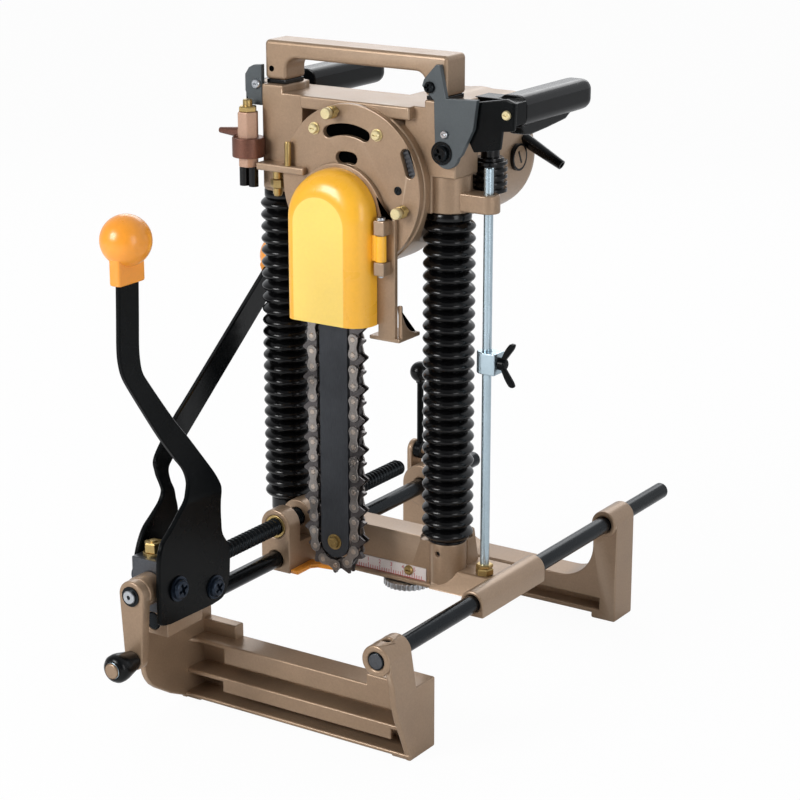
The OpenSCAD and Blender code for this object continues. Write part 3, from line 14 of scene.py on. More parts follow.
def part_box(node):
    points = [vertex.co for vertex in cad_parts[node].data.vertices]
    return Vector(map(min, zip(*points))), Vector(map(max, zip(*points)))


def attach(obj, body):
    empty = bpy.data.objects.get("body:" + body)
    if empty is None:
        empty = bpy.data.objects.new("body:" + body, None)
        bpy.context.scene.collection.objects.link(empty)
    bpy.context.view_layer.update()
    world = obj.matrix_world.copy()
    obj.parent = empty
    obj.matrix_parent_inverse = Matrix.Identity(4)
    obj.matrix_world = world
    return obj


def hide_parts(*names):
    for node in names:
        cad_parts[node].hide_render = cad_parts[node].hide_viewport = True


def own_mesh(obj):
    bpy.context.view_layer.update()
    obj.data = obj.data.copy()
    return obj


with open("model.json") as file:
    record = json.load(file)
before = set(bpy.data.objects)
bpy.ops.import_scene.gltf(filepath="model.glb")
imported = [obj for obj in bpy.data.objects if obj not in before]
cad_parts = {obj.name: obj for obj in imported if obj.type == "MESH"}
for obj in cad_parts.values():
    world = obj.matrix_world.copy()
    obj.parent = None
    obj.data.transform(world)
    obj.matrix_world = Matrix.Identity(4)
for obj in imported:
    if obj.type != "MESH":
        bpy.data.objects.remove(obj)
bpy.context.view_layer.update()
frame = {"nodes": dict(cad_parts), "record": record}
MM = 0.001
BODY_OF = {node: body for body, nodes in frame["record"]["behaviour"]["bodies"].items() for node in nodes}

# Places of the stand
FLOOR_Z = -69.5
ROD_LEFT_X, ROD_RIGHT_X, ROD_Z = -48.7, 116.6, 9.5
SCREW_Z, SCREW_D, SCREW_PITCH = 34.5, 12.5, 4.0
THREAD_FRONT, THREAD_REAR, THREAD_DEPTH = -112.3, 154.0, 1.3
JOURNAL_FRONT, BLOCK_FOOT, BLOCK_TOP = -150.0, 16.0, 53.0
BOSS_FRONT = -124.6
CRANK_Z, ARM_FRONT, KNOB_REAR = -11.5, -172.0, -172.3

# Places of the levers
PIVOT_Y, PIVOT_Z = -143.0, 34.5
LEVER_W, LEVER_T, BALL_R, NECK_H = 20.0, 4.0, 17.0, 27.9
CLAMP_X, CLAMP_BEND_X = -33.4, -41.9
RELEASE_X, RELEASE_Y = -68.5, -134.0
CLAMP_BALL = Vector((CLAMP_BEND_X, PIVOT_Y - 29, PIVOT_Z + 245))
RELEASE_BALL = Vector((RELEASE_X - 47, PIVOT_Y + 239, PIVOT_Z + 173))

# Places of the columns and the head
COL_X, COL_Y = 69.2, 38.7
LEFT_FOOT, RIGHT_FOOT, HEAD_LOW = 32.1, 34.1, 274.2
LEFT_RIB, RIGHT_RIB, RIBS = 41.75, 36.2, 26
DEPTH_X, WING_X = 100.4, 110.7
COVER_X, CASE_Z, COVER_FRONT = 7.0, 289.0, 9.0
PLATE_FRONT = 16.5
BRACKET_FRONT = 20.5
HANDLE_HOLE, HOLE_REACH = (-67.0, 20.7, 362.4), 4.0
OILER_X, OILER_Y = -79.0, 8.0
CUP_ARM_X, CUP_LOW, CUP_HIGH = -87.5, 300.8, 315.3
SPROCKET_Z, NOSE_Z = 268.0, 31.0
GUARD_HALF, GUARD_LOW, GUARD_ARCH, GUARD_BACK, GUARD_FRONT = 32.0, 195.0, 270.0, 4.7, -15.0
GUARD_WALL, HINGE_X, BARREL_LOW, BARREL_LEN = 2.2, 38.4, 241.8, 18.0
FLAT_AREA = 500.0

# Radius of the small flat that ends a turned shape
TIP = 0.02


# Camera, stage and light

def look(camera, place, way):
    """Puts a camera or a lamp at a place, facing a way."""
    camera.location = place
    camera.rotation_mode = "QUATERNION"
    camera.rotation_quaternion = Vector(way).to_track_quat("-Z", "Y")


def make_camera():
    """The camera that was fitted to the photograph."""
    data = bpy.data.cameras.new("camera")
    data.lens = 102.74
    data.sensor_width = 36
    camera = bpy.data.objects.new("camera", data)
    bpy.context.scene.collection.objects.link(camera)
    look(camera, (0.8833, -1.2637, 0.6053), (-0.5249, 0.7998, -0.2910))
    bpy.context.scene.camera = camera


def make_lamp(name, place, target, size, power):
    """An area lamp that faces a target."""
    data = bpy.data.lights.new(name, "AREA")
    data.shape = "RECTANGLE"
    data.size, data.size_y = size
    data.energy = power
    lamp = bpy.data.objects.new(name, data)
    bpy.context.scene.collection.objects.link(lamp)
    look(lamp, place, Vector(target) - Vector(place))


def camera_mix(tree, share, plain, seen, output):
    """Shows the camera a share of one shader, while all other light meets the plain one."""
    nodes, links = tree.nodes, tree.links
    path = nodes.new("ShaderNodeLightPath")
    part = nodes.new("ShaderNodeMath")
    part.operation = "MULTIPLY"
    part.inputs[1].default_value = share
    links.new(path.outputs["Is Camera Ray"], part.inputs[0])
    mix = nodes.new("ShaderNodeMixShader")
    links.new(part.outputs[0], mix.inputs[0])
    links.new(plain.outputs[0], mix.inputs[1])
    links.new(seen.outputs[0], mix.inputs[2])
    links.new(mix.outputs[0], nodes[output].inputs["Surface"])


def make_floor():
    """A white floor that keeps a soft shadow."""
    bm = bmesh.new()
    bmesh.ops.create_grid(bm, x_segments=1, y_segments=1, size=6)
    mesh = bpy.data.meshes.new("floor")
    bm.to_mesh(mesh)
    bm.free()
    floor = bpy.data.objects.new("floor", mesh)
    floor.location.z = (FLOOR_Z - 0.2) * MM
    bpy.context.scene.collection.objects.link(floor)
    paper = bpy.data.materials.new("paper")
    paper.use_nodes = True
    nodes = paper.node_tree.nodes
    shader = nodes["Principled BSDF"]
    shader.inputs["Base Color"].default_value = (0.86, 0.86, 0.86, 1)
    shader.inputs["Roughness"].default_value = 0.9
    shader.inputs["Specular IOR Level"].default_value = 0
    glow = nodes.new("ShaderNodeEmission")
    camera_mix(paper.node_tree, 0.96, shader, glow, "Material Output")
    mesh.materials.append(paper)


def make_room():
    """A room that looks white, and lights the part more from behind than from the front."""
    world = bpy.data.worlds.new("room")
    world.use_nodes = True
    bpy.context.scene.world = world
    nodes, links = world.node_tree.nodes, world.node_tree.links
    light = nodes["Background"]
    light.inputs["Color"].default_value = (0.95, 0.97, 1, 1)
    way = nodes.new("ShaderNodeTexCoord")
    parts = nodes.new("ShaderNodeSeparateXYZ")
    links.new(way.outputs["Generated"], parts.inputs[0])
    level = nodes.new("ShaderNodeMapRange")
    level.inputs["From Min"].default_value = -0.6
    level.inputs["From Max"].default_value = 0.7
    level.inputs["To Min"].default_value = 0.18
    level.inputs["To Max"].default_value = 0.85
    links.new(parts.outputs["Y"], level.inputs["Value"])
    links.new(level.outputs["Result"], light.inputs["Strength"])
    seen = nodes.new("ShaderNodeBackground")
    seen.inputs["Color"].default_value = (1, 1, 1, 1)
    camera_mix(world.node_tree, 1.0, light, seen, "World Output")


make_camera()
make_floor()
make_room()
bpy.context.scene.view_settings.view_transform = "Standard"
make_lamp("key", (-0.7, -1.7, 1.0), (0, 0, 0.12), (0.8, 0.8), 28)
make_lamp("fill", (1.8, -0.7, 0.6), (0, 0, 0.15), (0.7, 1.2), 8)
make_lamp("rim", (-0.75, 1.5, 1.1), (0, 0, 0.3), (1.6, 0.8), 9)


# Materials

def srgb(red, green, blue):
    """A colour as it looks on screen, from 0 to 255, in linear light."""
    shares = [c / 255 for c in (red, green, blue)]
    return [s / 12.92 if s <= 0.04045 else ((s + 0.055) / 1.055) ** 2.4 for s in shares]


def material(name, colour, rough, metal=0.0, coat=0.0, grain=900, bump=0.1, spread=0.12, stretch=(1, 1, 1),
             edge_wear_and_highlight=None, rough_spread=0.1, shine=0.5):
    """A finish with fine grain, broad blotches in colour and gloss, and paler convex edges where asked, which
    stand partly for edge wear and partly for a painted highlight.
    """
    made = bpy.data.materials.new(name)
    made.use_nodes = True
    nodes, links = made.node_tree.nodes, made.node_tree.links
    shader = nodes["Principled BSDF"]
    shader.inputs["Metallic"].default_value = metal
    shader.inputs["Specular IOR Level"].default_value = shine
    shader.inputs["Coat Weight"].default_value = coat
    shader.inputs["Coat Roughness"].default_value = 0.12
    coords = nodes.new("ShaderNodeTexCoord")
    mapping = nodes.new("ShaderNodeMapping")
    mapping.inputs["Scale"].default_value = stretch
    links.new(coords.outputs["Object"], mapping.inputs["Vector"])
    fine = nodes.new("ShaderNodeTexNoise")
    fine.inputs["Scale"].default_value = grain
    fine.inputs["Detail"].default_value = 3
    links.new(mapping.outputs["Vector"], fine.inputs["Vector"])
    broad = nodes.new("ShaderNodeTexNoise")
    broad.inputs["Scale"].default_value = 45
    broad.inputs["Detail"].default_value = 4
    links.new(coords.outputs["Object"], broad.inputs["Vector"])
    blend = nodes.new("ShaderNodeMix")
    blend.inputs["Factor"].default_value = 0.5
    links.new(fine.outputs["Fac"], blend.inputs["A"])
    links.new(broad.outputs["Fac"], blend.inputs["B"])
    ramp = nodes.new("ShaderNodeValToRGB")
    low, high = ramp.color_ramp.elements
    low.position, high.position = 0.36, 0.64
    low.color = [c * (1 - spread) for c in colour] + [1]
    high.color = [min(1, c * (1 + spread)) for c in colour] + [1]
    links.new(blend.outputs["Result"], ramp.inputs["Fac"])
    paint = ramp.outputs["Color"]
    if edge_wear_and_highlight:
        # Paler colour on convex edges, from pointiness: part edge wear, part painted highlight on the edges.
        shape = nodes.new("ShaderNodeNewGeometry")
        edge = nodes.new("ShaderNodeMapRange")
        edge.inputs["From Min"].default_value = 0.53
        edge.inputs["From Max"].default_value = 0.62
        edge.inputs["To Max"].default_value = 0.3
        links.new(shape.outputs["Pointiness"], edge.inputs["Value"])
        over = nodes.new("ShaderNodeMix")
        over.data_type = "RGBA"
        over.inputs["B"].default_value = list(edge_wear_and_highlight) + [1]
        links.new(edge.outputs["Result"], over.inputs["Factor"])
        links.new(paint, over.inputs["A"])
        paint = over.outputs["Result"]
    links.new(paint, shader.inputs["Base Color"])
    gloss = nodes.new("ShaderNodeMapRange")
    gloss.inputs["To Min"].default_value = max(0.03, rough - rough_spread)
    gloss.inputs["To Max"].default_value = min(1, rough + rough_spread)
    links.new(broad.outputs["Fac"], gloss.inputs["Value"])
    links.new(gloss.outputs["Result"], shader.inputs["Roughness"])
    relief = nodes.new("ShaderNodeBump")
    relief.inputs["Strength"].default_value = bump
    relief.inputs["Distance"].default_value = 0.2 * MM
    links.new(fine.outputs["Fac"], relief.inputs["Height"])
    links.new(relief.outputs["Normal"], shader.inputs["Normal"])
    return made


# The tan's paler edges are partly edge wear and partly a painted highlight on the edges.
TAN = material("tan_paint", srgb(158, 132, 107), 0.4, metal=0.45, coat=0.2, grain=700, bump=0.28,
               spread=0.09, edge_wear_and_highlight=srgb(216, 194, 172))
BLACK = material("black_paint", srgb(4, 6, 7), 0.26, grain=500, bump=0.06, spread=0.3, shine=0.12)
BLACK_OXIDE = material("black_oxide", srgb(26, 30, 33), 0.26, metal=0.8, grain=1500, bump=0.08, spread=0.3)
BLUED = material("blued_steel", srgb(38, 48, 62), 0.32, metal=0.7, grain=1500, bump=0.08, spread=0.25)
DARK_STEEL = material("dark_steel", srgb(84, 86, 90), 0.4, metal=0.8, grain=700, bump=0.12, spread=0.18)
BAR_STEEL = material("bar_steel", srgb(62, 64, 68), 0.45, metal=0.7, grain=900, bump=0.15, spread=0.2,
                     stretch=(4, 4, 0.3))
STEEL = material("bright_steel", srgb(190, 193, 197), 0.3, metal=1, grain=1800, bump=0.06, spread=0.1)
ZINC = material("zinc", srgb(186, 204, 214), 0.25, metal=0.9, grain=1200, bump=0.05, spread=0.12)
BRASS = material("brass", srgb(184, 158, 104), 0.32, metal=0.9, grain=1200, bump=0.08, spread=0.12)
PALE_BRASS = material("pale_brass", srgb(224, 208, 160), 0.34, metal=0.6, grain=1200, bump=0.06, spread=0.1)
COPPER = material("copper", srgb(112, 74, 60), 0.4, metal=0.55, grain=900, bump=0.15, spread=0.2)
BRONZE = material("chain_plate", srgb(148, 142, 138), 0.3, metal=0.9, grain=1500, bump=0.12, spread=0.25)
RIVET = material("chain_rivet", srgb(192, 178, 166), 0.28, metal=0.9, grain=1500, bump=0.1, spread=0.2)
CUTTER = material("chain_cutter", srgb(96, 92, 92), 0.32, metal=0.9, grain=1200, bump=0.12, spread=0.3)
ORANGE = material("orange_plastic", srgb(248, 158, 46), 0.3, coat=0.3, grain=400, bump=0.05, spread=0.04)
YELLOW = material("yellow_plastic", srgb(252, 186, 50), 0.3, coat=0.3, grain=400, bump=0.05, spread=0.035)
# A paler yellow for the guard's flat faces: painted light on the front that faces the lamps.
LIT_YELLOW = material("guard_front_painted_light", srgb(253, 216, 104), 0.32, coat=0.3, grain=400, bump=0.05,
                       spread=0.03)
PLATE_GREY = material("plate_grey", srgb(74, 80, 83), 0.45, metal=0.2, grain=900, bump=0.12, spread=0.1)
BLACK_PLASTIC = material("black_plastic", srgb(6, 7, 8), 0.24, shine=0.25, grain=700, bump=0.06,
                         spread=0.25)
RUBBER = material("rubber", srgb(5, 5, 6), 0.2, grain=900, bump=0.06, spread=0.25, shine=0.35,
                  rough_spread=0.05)
# A flat black without shine, as painted shade in slots and holes.
SHADE_BLACK = material("painted_shade_black", srgb(4, 4, 4), 0.9, grain=400, bump=0.05, spread=0.3, shine=0)
WHITE_INK = material("scale_white", srgb(226, 216, 212), 0.4, grain=900, bump=0.05, spread=0.05)
RED_INK = material("scale_red", srgb(196, 60, 74), 0.5, grain=900, bump=0.05, spread=0.1)
PINK = material("oiler_hex", srgb(188, 152, 130), 0.38, metal=0.4, grain=900, bump=0.08, spread=0.1)


# Shapes in millimetres

def aim(origin, axis, spin=0.0):
    """A place whose own Z points along an axis."""
    turn = Vector((0, 0, 1)).rotation_difference(Vector(axis)).to_matrix().to_4x4()
    return Matrix.Translation(Vector(origin)) @ turn @ Matrix.Rotation(math.radians(spin), 4, "Z")


def facing(y, x=0.0, z=0.0):
    """A place on a wall that faces the front: its own X and Y are the frame's X and Z."""
    return Matrix(((1, 0, 0, x), (0, 0, -1, y), (0, 1, 0, z), (0, 0, 0, 1)))


def raised(place, height):
    """A place moved along its own Z."""
    return place @ Matrix.Translation((0, 0, height))


def oblong(left, low, right, high):
    """The corners of an upright rectangle."""
    return [(left, low), (right, low), (right, high), (left, high)]


def circle(radius, count=40, centre=(0, 0), start=0.0, end=360.0):
    """Points on a circle, or on an arc of it with both of its ends."""
    whole = abs(end - start) >= 360
    steps = count if whole else count - 1
    angles = [math.radians(start + (end - start) * i / steps) for i in range(count)]
    return [(centre[0] + radius * math.cos(a), centre[1] + radius * math.sin(a)) for a in angles]


def hexagon(flats):
    """A hexagon from its width across flats."""
    return circle(flats / 2 / math.cos(math.radians(30)), 6)


def rounded(points, radius, steps=5):
    """An outline with each corner rounded to a radius, or to half of its shorter side."""
    out = []
    for i, here in enumerate(points):
        here, back, on = Vector(here), Vector(points[i - 1]), Vector(points[(i + 1) % len(points)])
        cut = min(radius, (back - here).length * 0.48, (on - here).length * 0.48)
        first = here + (back - here).normalized() * cut
        last = here + (on - here).normalized() * cut
        for k in range(steps + 1):
            t = k / steps
            out.append(tuple(first * (1 - t) ** 2 + here * 2 * t * (1 - t) + last * t ** 2))
    return out


def smooth_path(points, steps=6):
    """A curve through some points."""
    ends = [2 * points[0] - points[1], *points, 2 * points[-1] - points[-2]]
    out = []
    for a, b, c, d in zip(ends, ends[1:], ends[2:], ends[3:]):
        for k in range(steps):
            t = k / steps
            out.append(0.5 * (2 * b + (c - a) * t + (2 * a - 5 * b + 4 * c - d) * t ** 2
                              + (3 * b - a - 3 * c + d) * t ** 3))
    return out + [points[-1]]


def join(bm, rings):
    """Joins rings of points with faces and caps the first ring. Gives back the corners, ring by ring."""
    rows = [[bm.verts.new(p) for p in ring] for ring in rings]
    for a, b in zip(rows, rows[1:]):
        for i in range(len(a)):
            bm.faces.new((a[i], a[i - 1], b[i - 1], b[i]))
    bm.faces.new(rows[0])
    return rows


def skin(bm, rings):
    """Joins rings of points with faces, and caps the two ends."""
    rows = join(bm, rings)
    bm.faces.new(reversed(rows[-1]))


def revolve(bm, profile, place, count=40):
    """A turned shape from a profile of radius and height."""
    skin(bm, [[place @ Vector((x, y, h)) for x, y in circle(max(r, TIP), count)] for r, h in profile])


def prism(bm, outline, place, low, high, holes=()):
    """A plate from an outline with holes through it."""
    loops = [outline, *holes]
    flat = [Vector((x, y, 0)) for loop in loops for x, y in loop]
    tops = [[bm.verts.new(place @ Vector((p.x, p.y, h))) for p in flat] for h in (low, high)]
    for tri in tessellate_polygon([[Vector((x, y, 0)) for x, y in loop] for loop in loops]):
        for row in tops:
            bm.faces.new([row[i] for i in tri])
    start = 0
    for loop in loops:
        for i in range(len(loop)):
            j = start + (i + 1) % len(loop)
            bm.faces.new((tops[0][start + i], tops[0][j], tops[1][j], tops[1][start + i]))
        start += len(loop)


def tube(bm, path, radius, sides=10):
    """A round wire along a path."""
    rings = []
    side = Vector((0.3, 0.2, 1)).cross(path[1] - path[0]).normalized()
    for i, here in enumerate(path):
        way = (path[min(i + 1, len(path) - 1)] - path[max(i - 1, 0)]).normalized()
        side = (side - way * side.dot(way)).normalized()
        other = way.cross(side)
        rings.append([here + side * x + other * y for x, y in circle(radius, sides)])
    skin(bm, rings)


def helix(origin, axis, radius, length, turns, steps):
    """The line of a coil spring."""
    place = aim(origin, axis)
    count = int(turns * steps)
    spots = [(2 * math.pi * i / steps, length * i / count) for i in range(count + 1)]
    return [place @ Vector((radius * math.cos(a), radius * math.sin(a), h)) for a, h in spots]


def soften(bm, width, segments=2, angle=28.0):
    """Rounds every outer edge that is sharper than an angle."""
    rounding = bm.faces.layers.int.new("rounding")
    bmesh.ops.recalc_face_normals(bm, faces=bm.faces)
    limit = math.radians(angle)
    sharp = [e for e in bm.edges if e.is_manifold and e.is_convex and e.calc_face_angle() > limit]
    made = bmesh.ops.bevel(bm, geom=sharp, offset=width, segments=segments, profile=0.5, affect="EDGES",
                           clamp_overlap=False, loop_slide=True)
    for face in made["faces"]:
        face[rounding] = 1


def split_flats(bm):
    """Ends the smooth shading of rounded edges where they meet a flat face."""
    rounding = bm.faces.layers.int.get("rounding")
    if not rounding:
        return
    level = math.radians(0.3)
    for edge in bm.edges:
        if not edge.is_manifold:
            continue
        a, b = edge.link_faces
        if a[rounding] == b[rounding]:
            continue
        face = b if a[rounding] else a
        beside = [e for e in face.edges if e.is_manifold and not any(f[rounding] for f in e.link_faces)]
        if all(e.calc_face_angle() < level for e in beside):
            edge.smooth = False


def finish_piece(name, bm, finish, nodes=(), body=None, crease=32.0, weighted=True):
    """Turns a shape into a piece that rides on a body and stands for some nodes."""
    bmesh.ops.recalc_face_normals(bm, faces=bm.faces)
    bmesh.ops.scale(bm, vec=(MM, MM, MM), verts=bm.verts)
    for edge in bm.edges:
        edge.smooth = edge.is_manifold and edge.calc_face_angle() < math.radians(crease)
    split_flats(bm)
    for face in bm.faces:
        face.smooth = True
    mesh = bpy.data.meshes.new(name)
    bm.to_mesh(mesh)
    bm.free()
    mesh.materials.append(finish)
    piece = bpy.data.objects.new(name, mesh)
    bpy.context.scene.collection.objects.link(piece)
    if weighted:
        normals = piece.modifiers.new("normals", "WEIGHTED_NORMAL")
        normals.keep_sharp = True
    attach(piece, body or BODY_OF[nodes[0]])
    if nodes:
        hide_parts(*nodes)
    return piece


def node_shape(node, hole=None):
    """A node's own shape in millimetres, with a small blind hole closed where one is named."""
    bm = bmesh.new()
    bm.from_mesh(frame["nodes"][node].data)
    bmesh.ops.scale(bm, vec=(1 / MM, 1 / MM, 1 / MM), verts=bm.verts)
    bmesh.ops.remove_doubles(bm, verts=bm.verts, dist=0.002)
    if hole:
        near = [v for v in bm.verts if (v.co - Vector(hole)).length < HOLE_REACH]
        bmesh.ops.delete(bm, geom=near, context="VERTS")
        bmesh.ops.holes_fill(bm, edges=bm.edges[:], sides=0)
    bmesh.ops.dissolve_limit(bm, angle_limit=math.radians(0.5), verts=bm.verts, edges=bm.edges)
    return bm


def dress(node, finish, edge=0.8, segments=2, hole=None):
    """A node's own shape with rounded edges and a finish."""
    bm = node_shape(node, hole)
    soften(bm, edge, segments)
    return finish_piece(node + "_skin", bm, finish, [node])


def keep(node, finish):
    """A node that stays as it is, with a finish."""
    mesh = frame["nodes"][node].data
    mesh.materials.clear()
    mesh.materials.append(finish)


# Screws

CROSS = [(-0.13, -0.5), (0.13, -0.5), (0.13, -0.13), (0.5, -0.13), (0.5, 0.13), (0.13, 0.13), (0.13, 0.5),
         (-0.13, 0.5), (-0.13, 0.13), (-0.5, 0.13), (-0.5, -0.13), (-0.13, -0.13)]
SLOT = oblong(-0.44, -0.09, 0.44, 0.09)


def screw_head(bm, place, diameter, height, recess=CROSS, size=0.62):
    """A pan head with a driving recess, standing on its place."""
    r, sides = diameter / 2, 28
    rim = [(r, 0), (r, height * 0.45), (r * 0.93, height * 0.8), (r * 0.8, height)]
    rows = join(bm, [[place @ Vector((x, y, h)) for x, y in circle(radius, sides)] for radius, h in rim])
    hole = [(x * diameter * size, y * diameter * size) for x, y in recess]
    top = [Vector((x, y, 0)) for x, y in circle(r * 0.8, sides)]
    mouth = [bm.verts.new(place @ Vector((x, y, height))) for x, y in hole]
    floor = [bm.verts.new(place @ Vector((x * 0.8, y * 0.8, height * 0.35))) for x, y in hole]
    both = rows[-1] + mouth
    for tri in tessellate_polygon([top, [Vector((x, y, 0)) for x, y in hole]]):
        bm.faces.new([both[i] for i in tri])
    for i in range(len(hole)):
        bm.faces.new((mouth[i], mouth[i - 1], floor[i - 1], floor[i]))
    bm.faces.new(floor)


def hex_head(bm, place, flats, low, high):
    """A hexagonal nut or head with chamfered corners."""
    outline = hexagon(flats)
    inner = [(x * 0.9, y * 0.9) for x, y in outline]
    levels = [(inner, low), (outline, low + 0.5), (outline, high - 0.8), (inner, high)]
    skin(bm, [[place @ Vector((x, y, h)) for x, y in ring] for ring, h in levels])


def washer(bm, place, outer, inner, height):
    """A flat ring that stands on its place."""
    prism(bm, circle(outer / 2, 32), place, 0, height, [circle(inner / 2, 24)])


# Jaw, rods and crank

dress("front_jaw", TAN, 1.3, 3)
dress("guide_rods", BLACK_OXIDE, 0.9)
dress("crank_arm", TAN, 1.3, 3)


def make_lever_block():
    """The block in bare steel, painted like the jaw round its foot."""
    piece = dress("lever_block", DARK_STEEL, 0.9)
    bm = bmesh.new()
    bm.from_mesh(piece.data)
    whole = bm.verts[:] + bm.edges[:] + bm.faces[:]
    bmesh.ops.bisect_plane(bm, geom=whole, plane_co=(0, 0, BLOCK_FOOT * MM), plane_no=(0, 0, 1))
    for face in bm.faces:
        face.material_index = int(face.calc_center_median().z < BLOCK_FOOT * MM)
    bm.to_mesh(piece.data)
    bm.free()
    piece.data.materials.append(TAN)


def make_jaw_screws():
    """The brass bolt on the lever block, and the set screw and bright rod end in the right boss."""
    bm = bmesh.new()
    up = aim((ROD_LEFT_X - 7, JOURNAL_FRONT + 12, BLOCK_TOP), (0, 0, 1), 12)
    revolve(bm, [(7.5, 0), (7.5, 1.6), (7.1, 2)], up, 32)
    hex_head(bm, up, 12, 2, 9)
    revolve(bm, [(3, -8), (3, 9), (2.6, 10)], up, 20)
    finish_piece("jaw_bolt", bm, BRASS, ["jaw_screws"])
    bm = bmesh.new()
    # The set screw is real, but its flat black without shine is painted shade of the hole it sits down in.
    revolve(bm, [(2.95, 0), (2.95, 2.5)], aim((ROD_RIGHT_X, BOSS_FRONT + 13.5, ROD_Z + 6.5), (0, 0, 1)), 20)
    finish_piece("jaw_set_screw", bm, SHADE_BLACK, body="jaw")
    bm = bmesh.new()
    end = aim((ROD_RIGHT_X, BOSS_FRONT, ROD_Z), (0, -1, 0))
    revolve(bm, [(5.2, -0.5), (5.2, 0.1), (4.8, 0.35), (TIP, 0.4)], end, 36)
    finish_piece("rod_end", bm, DARK_STEEL, body="jaw")


def make_pivots():
    """The levers' pivot screws and the clamp lever's link screw, each on a washer."""
    bm = bmesh.new()
    thick = 1.1
    for x, y, side in ((-31.1, PIVOT_Y, 1), (-70.8, RELEASE_Y, -1)):
        out = aim((x, y, PIVOT_Z), (side, 0, 0), 20)
        washer(bm, out, 17.5, 6, thick)
        screw_head(bm, raised(out, thick), 14, 3.2)
        revolve(bm, [(4, -9.5), (4, 0.5)], out, 20)
    finish_piece("pivot_screws", bm, BLUED, ["lever_pivots"])
    bm = bmesh.new()
    out = aim((CLAMP_X + LEVER_T / 2, PIVOT_Y + 40, PIVOT_Z - 12), (1, 0, 0), 35)
    washer(bm, out, 17, 6, thick)
    screw_head(bm, raised(out, thick), 13.5, 3)
    revolve(bm, [(3, -3.9), (3, 0.5)], out, 20)
    finish_piece("link_bolt", bm, BLUED, ["link_screw"])


def make_feed_screw():
    """A threaded bar with a plain journal, a collar and a stub for the crank."""
    bm = bmesh.new()
    per_turn, sides = 8, 28
    rings = []
    for i in range(int((THREAD_REAR - THREAD_FRONT) / SCREW_PITCH * per_turn) + 1):
        y = THREAD_FRONT + i * SCREW_PITCH / per_turn
        ring = []
        for k in range(sides):
            phase = (y / SCREW_PITCH - k / sides) % 1
            depth = THREAD_DEPTH * min(1, max(0, abs(phase - 0.5) * 4 - 0.5))
            a = 2 * math.pi * k / sides
            r = SCREW_D / 2 - depth
            ring.append((ROD_LEFT_X + r * math.cos(a), y, SCREW_Z + r * math.sin(a)))
        rings.append(ring)
    skin(bm, rings)
    front = aim((ROD_LEFT_X, 0, SCREW_Z), (0, 1, 0))
    revolve(bm, [(9, -111.7), (9, -107), (8.4, -106.5)], front, 36)
    revolve(bm, [(4, -174.5), (4, -150.3), (6.25, -150.2), (6.25, -112)], front, 32)
    finish_piece("feed_thread", bm, BLACK_OXIDE, ["feed_screw"], crease=50)


def make_crank_nut():
    """The bright nut on the crank's stub, in a black ring."""
    front = aim((ROD_LEFT_X, ARM_FRONT, SCREW_Z), (0, -1, 0))
    bm = bmesh.new()
    revolve(bm, [(4.7, 0), (4.7, 2.2), (4.2, 2.8), (1.6, 2.8), (1.2, 2), (TIP, 2)], front, 32)
    finish_piece("crank_cap_nut", bm, STEEL, ["crank_nut"])
    bm = bmesh.new()
    prism(bm, circle(7, 36), front, 0, 0.9, [circle(4.7, 36)])
    finish_piece("crank_ring", bm, BLACK_OXIDE, body="crank")


def make_crank_knob():
    """The crank's turned knob, and the bright end of the pin that it turns on."""
    bm = bmesh.new()
    front = aim((ROD_LEFT_X, KNOB_REAR, CRANK_Z), (0, -1, 0))
    profile = [(6.5, 0), (7, 0.8), (7.6, 4), (8.6, 8), (9.6, 12), (10, 15), (9.8, 18), (8.6, 20), (7, 21),
               (6.1, 21), (5.9, 20)]
    revolve(bm, profile, front, 44)
    finish_piece("knob_grip", bm, BLACK_PLASTIC, ["crank_knob"])
    bm = bmesh.new()
    revolve(bm, [(5.7, 20), (5.7, 21.4), (5, 22), (3, 22.2), (TIP, 22.3)], front, 32)
    finish_piece("knob_cap", bm, ZINC, body="crank")


make_lever_block()
make_jaw_screws()
make_pivots()
make_feed_screw()
make_crank_nut()
make_crank_knob()


# Levers

def bar_stations(path, width):
    """Front and rear edge points of a flat bar along a path, square to it in its own plane."""
    out = []
    for i, here in enumerate(path):
        way = path[min(i + 1, len(path) - 1)] - path[max(i - 1, 0)]
        across = Vector((0, way.z, -way.y)).normalized()
        out.append((here - across * width / 2, here + across * width / 2))
    return out


def ribbon(bm, edges, thick):
    """A flat bar between two edges, with its long edges broken."""
    fronts = smooth_path([front for front, rear in edges])
    rears = smooth_path([rear for front, rear in edges])
    mids = [(f + r) / 2 for f, r in zip(fronts, rears)]
    half, cut = thick / 2, 0.9
    rings = []
    for i, (front, rear) in enumerate(zip(fronts, rears)):
        along = mids[min(i + 1, len(mids) - 1)] - mids[max(i - 1, 0)]
        across = (rear - front).normalized()
        out = along.cross(across).normalized()
        reach = (rear - front).length
        corners = [(0, -half + cut), (cut, -half), (reach - cut, -half), (reach, -half + cut),
                   (reach, half - cut), (reach - cut, half), (cut, half), (0, half - cut)]
        rings.append([front + across * a + out * b for a, b in corners])
    skin(bm, rings)


def stations(rows, y):
    """Edge points of a lever from rows of X and of its front and rear edges, in Y and Z round its pivot."""
    def spot(x, edge):
        return Vector((x, y + edge[0], PIVOT_Z + edge[1]))

    return [(spot(x, front), spot(x, rear)) for x, front, rear in rows]


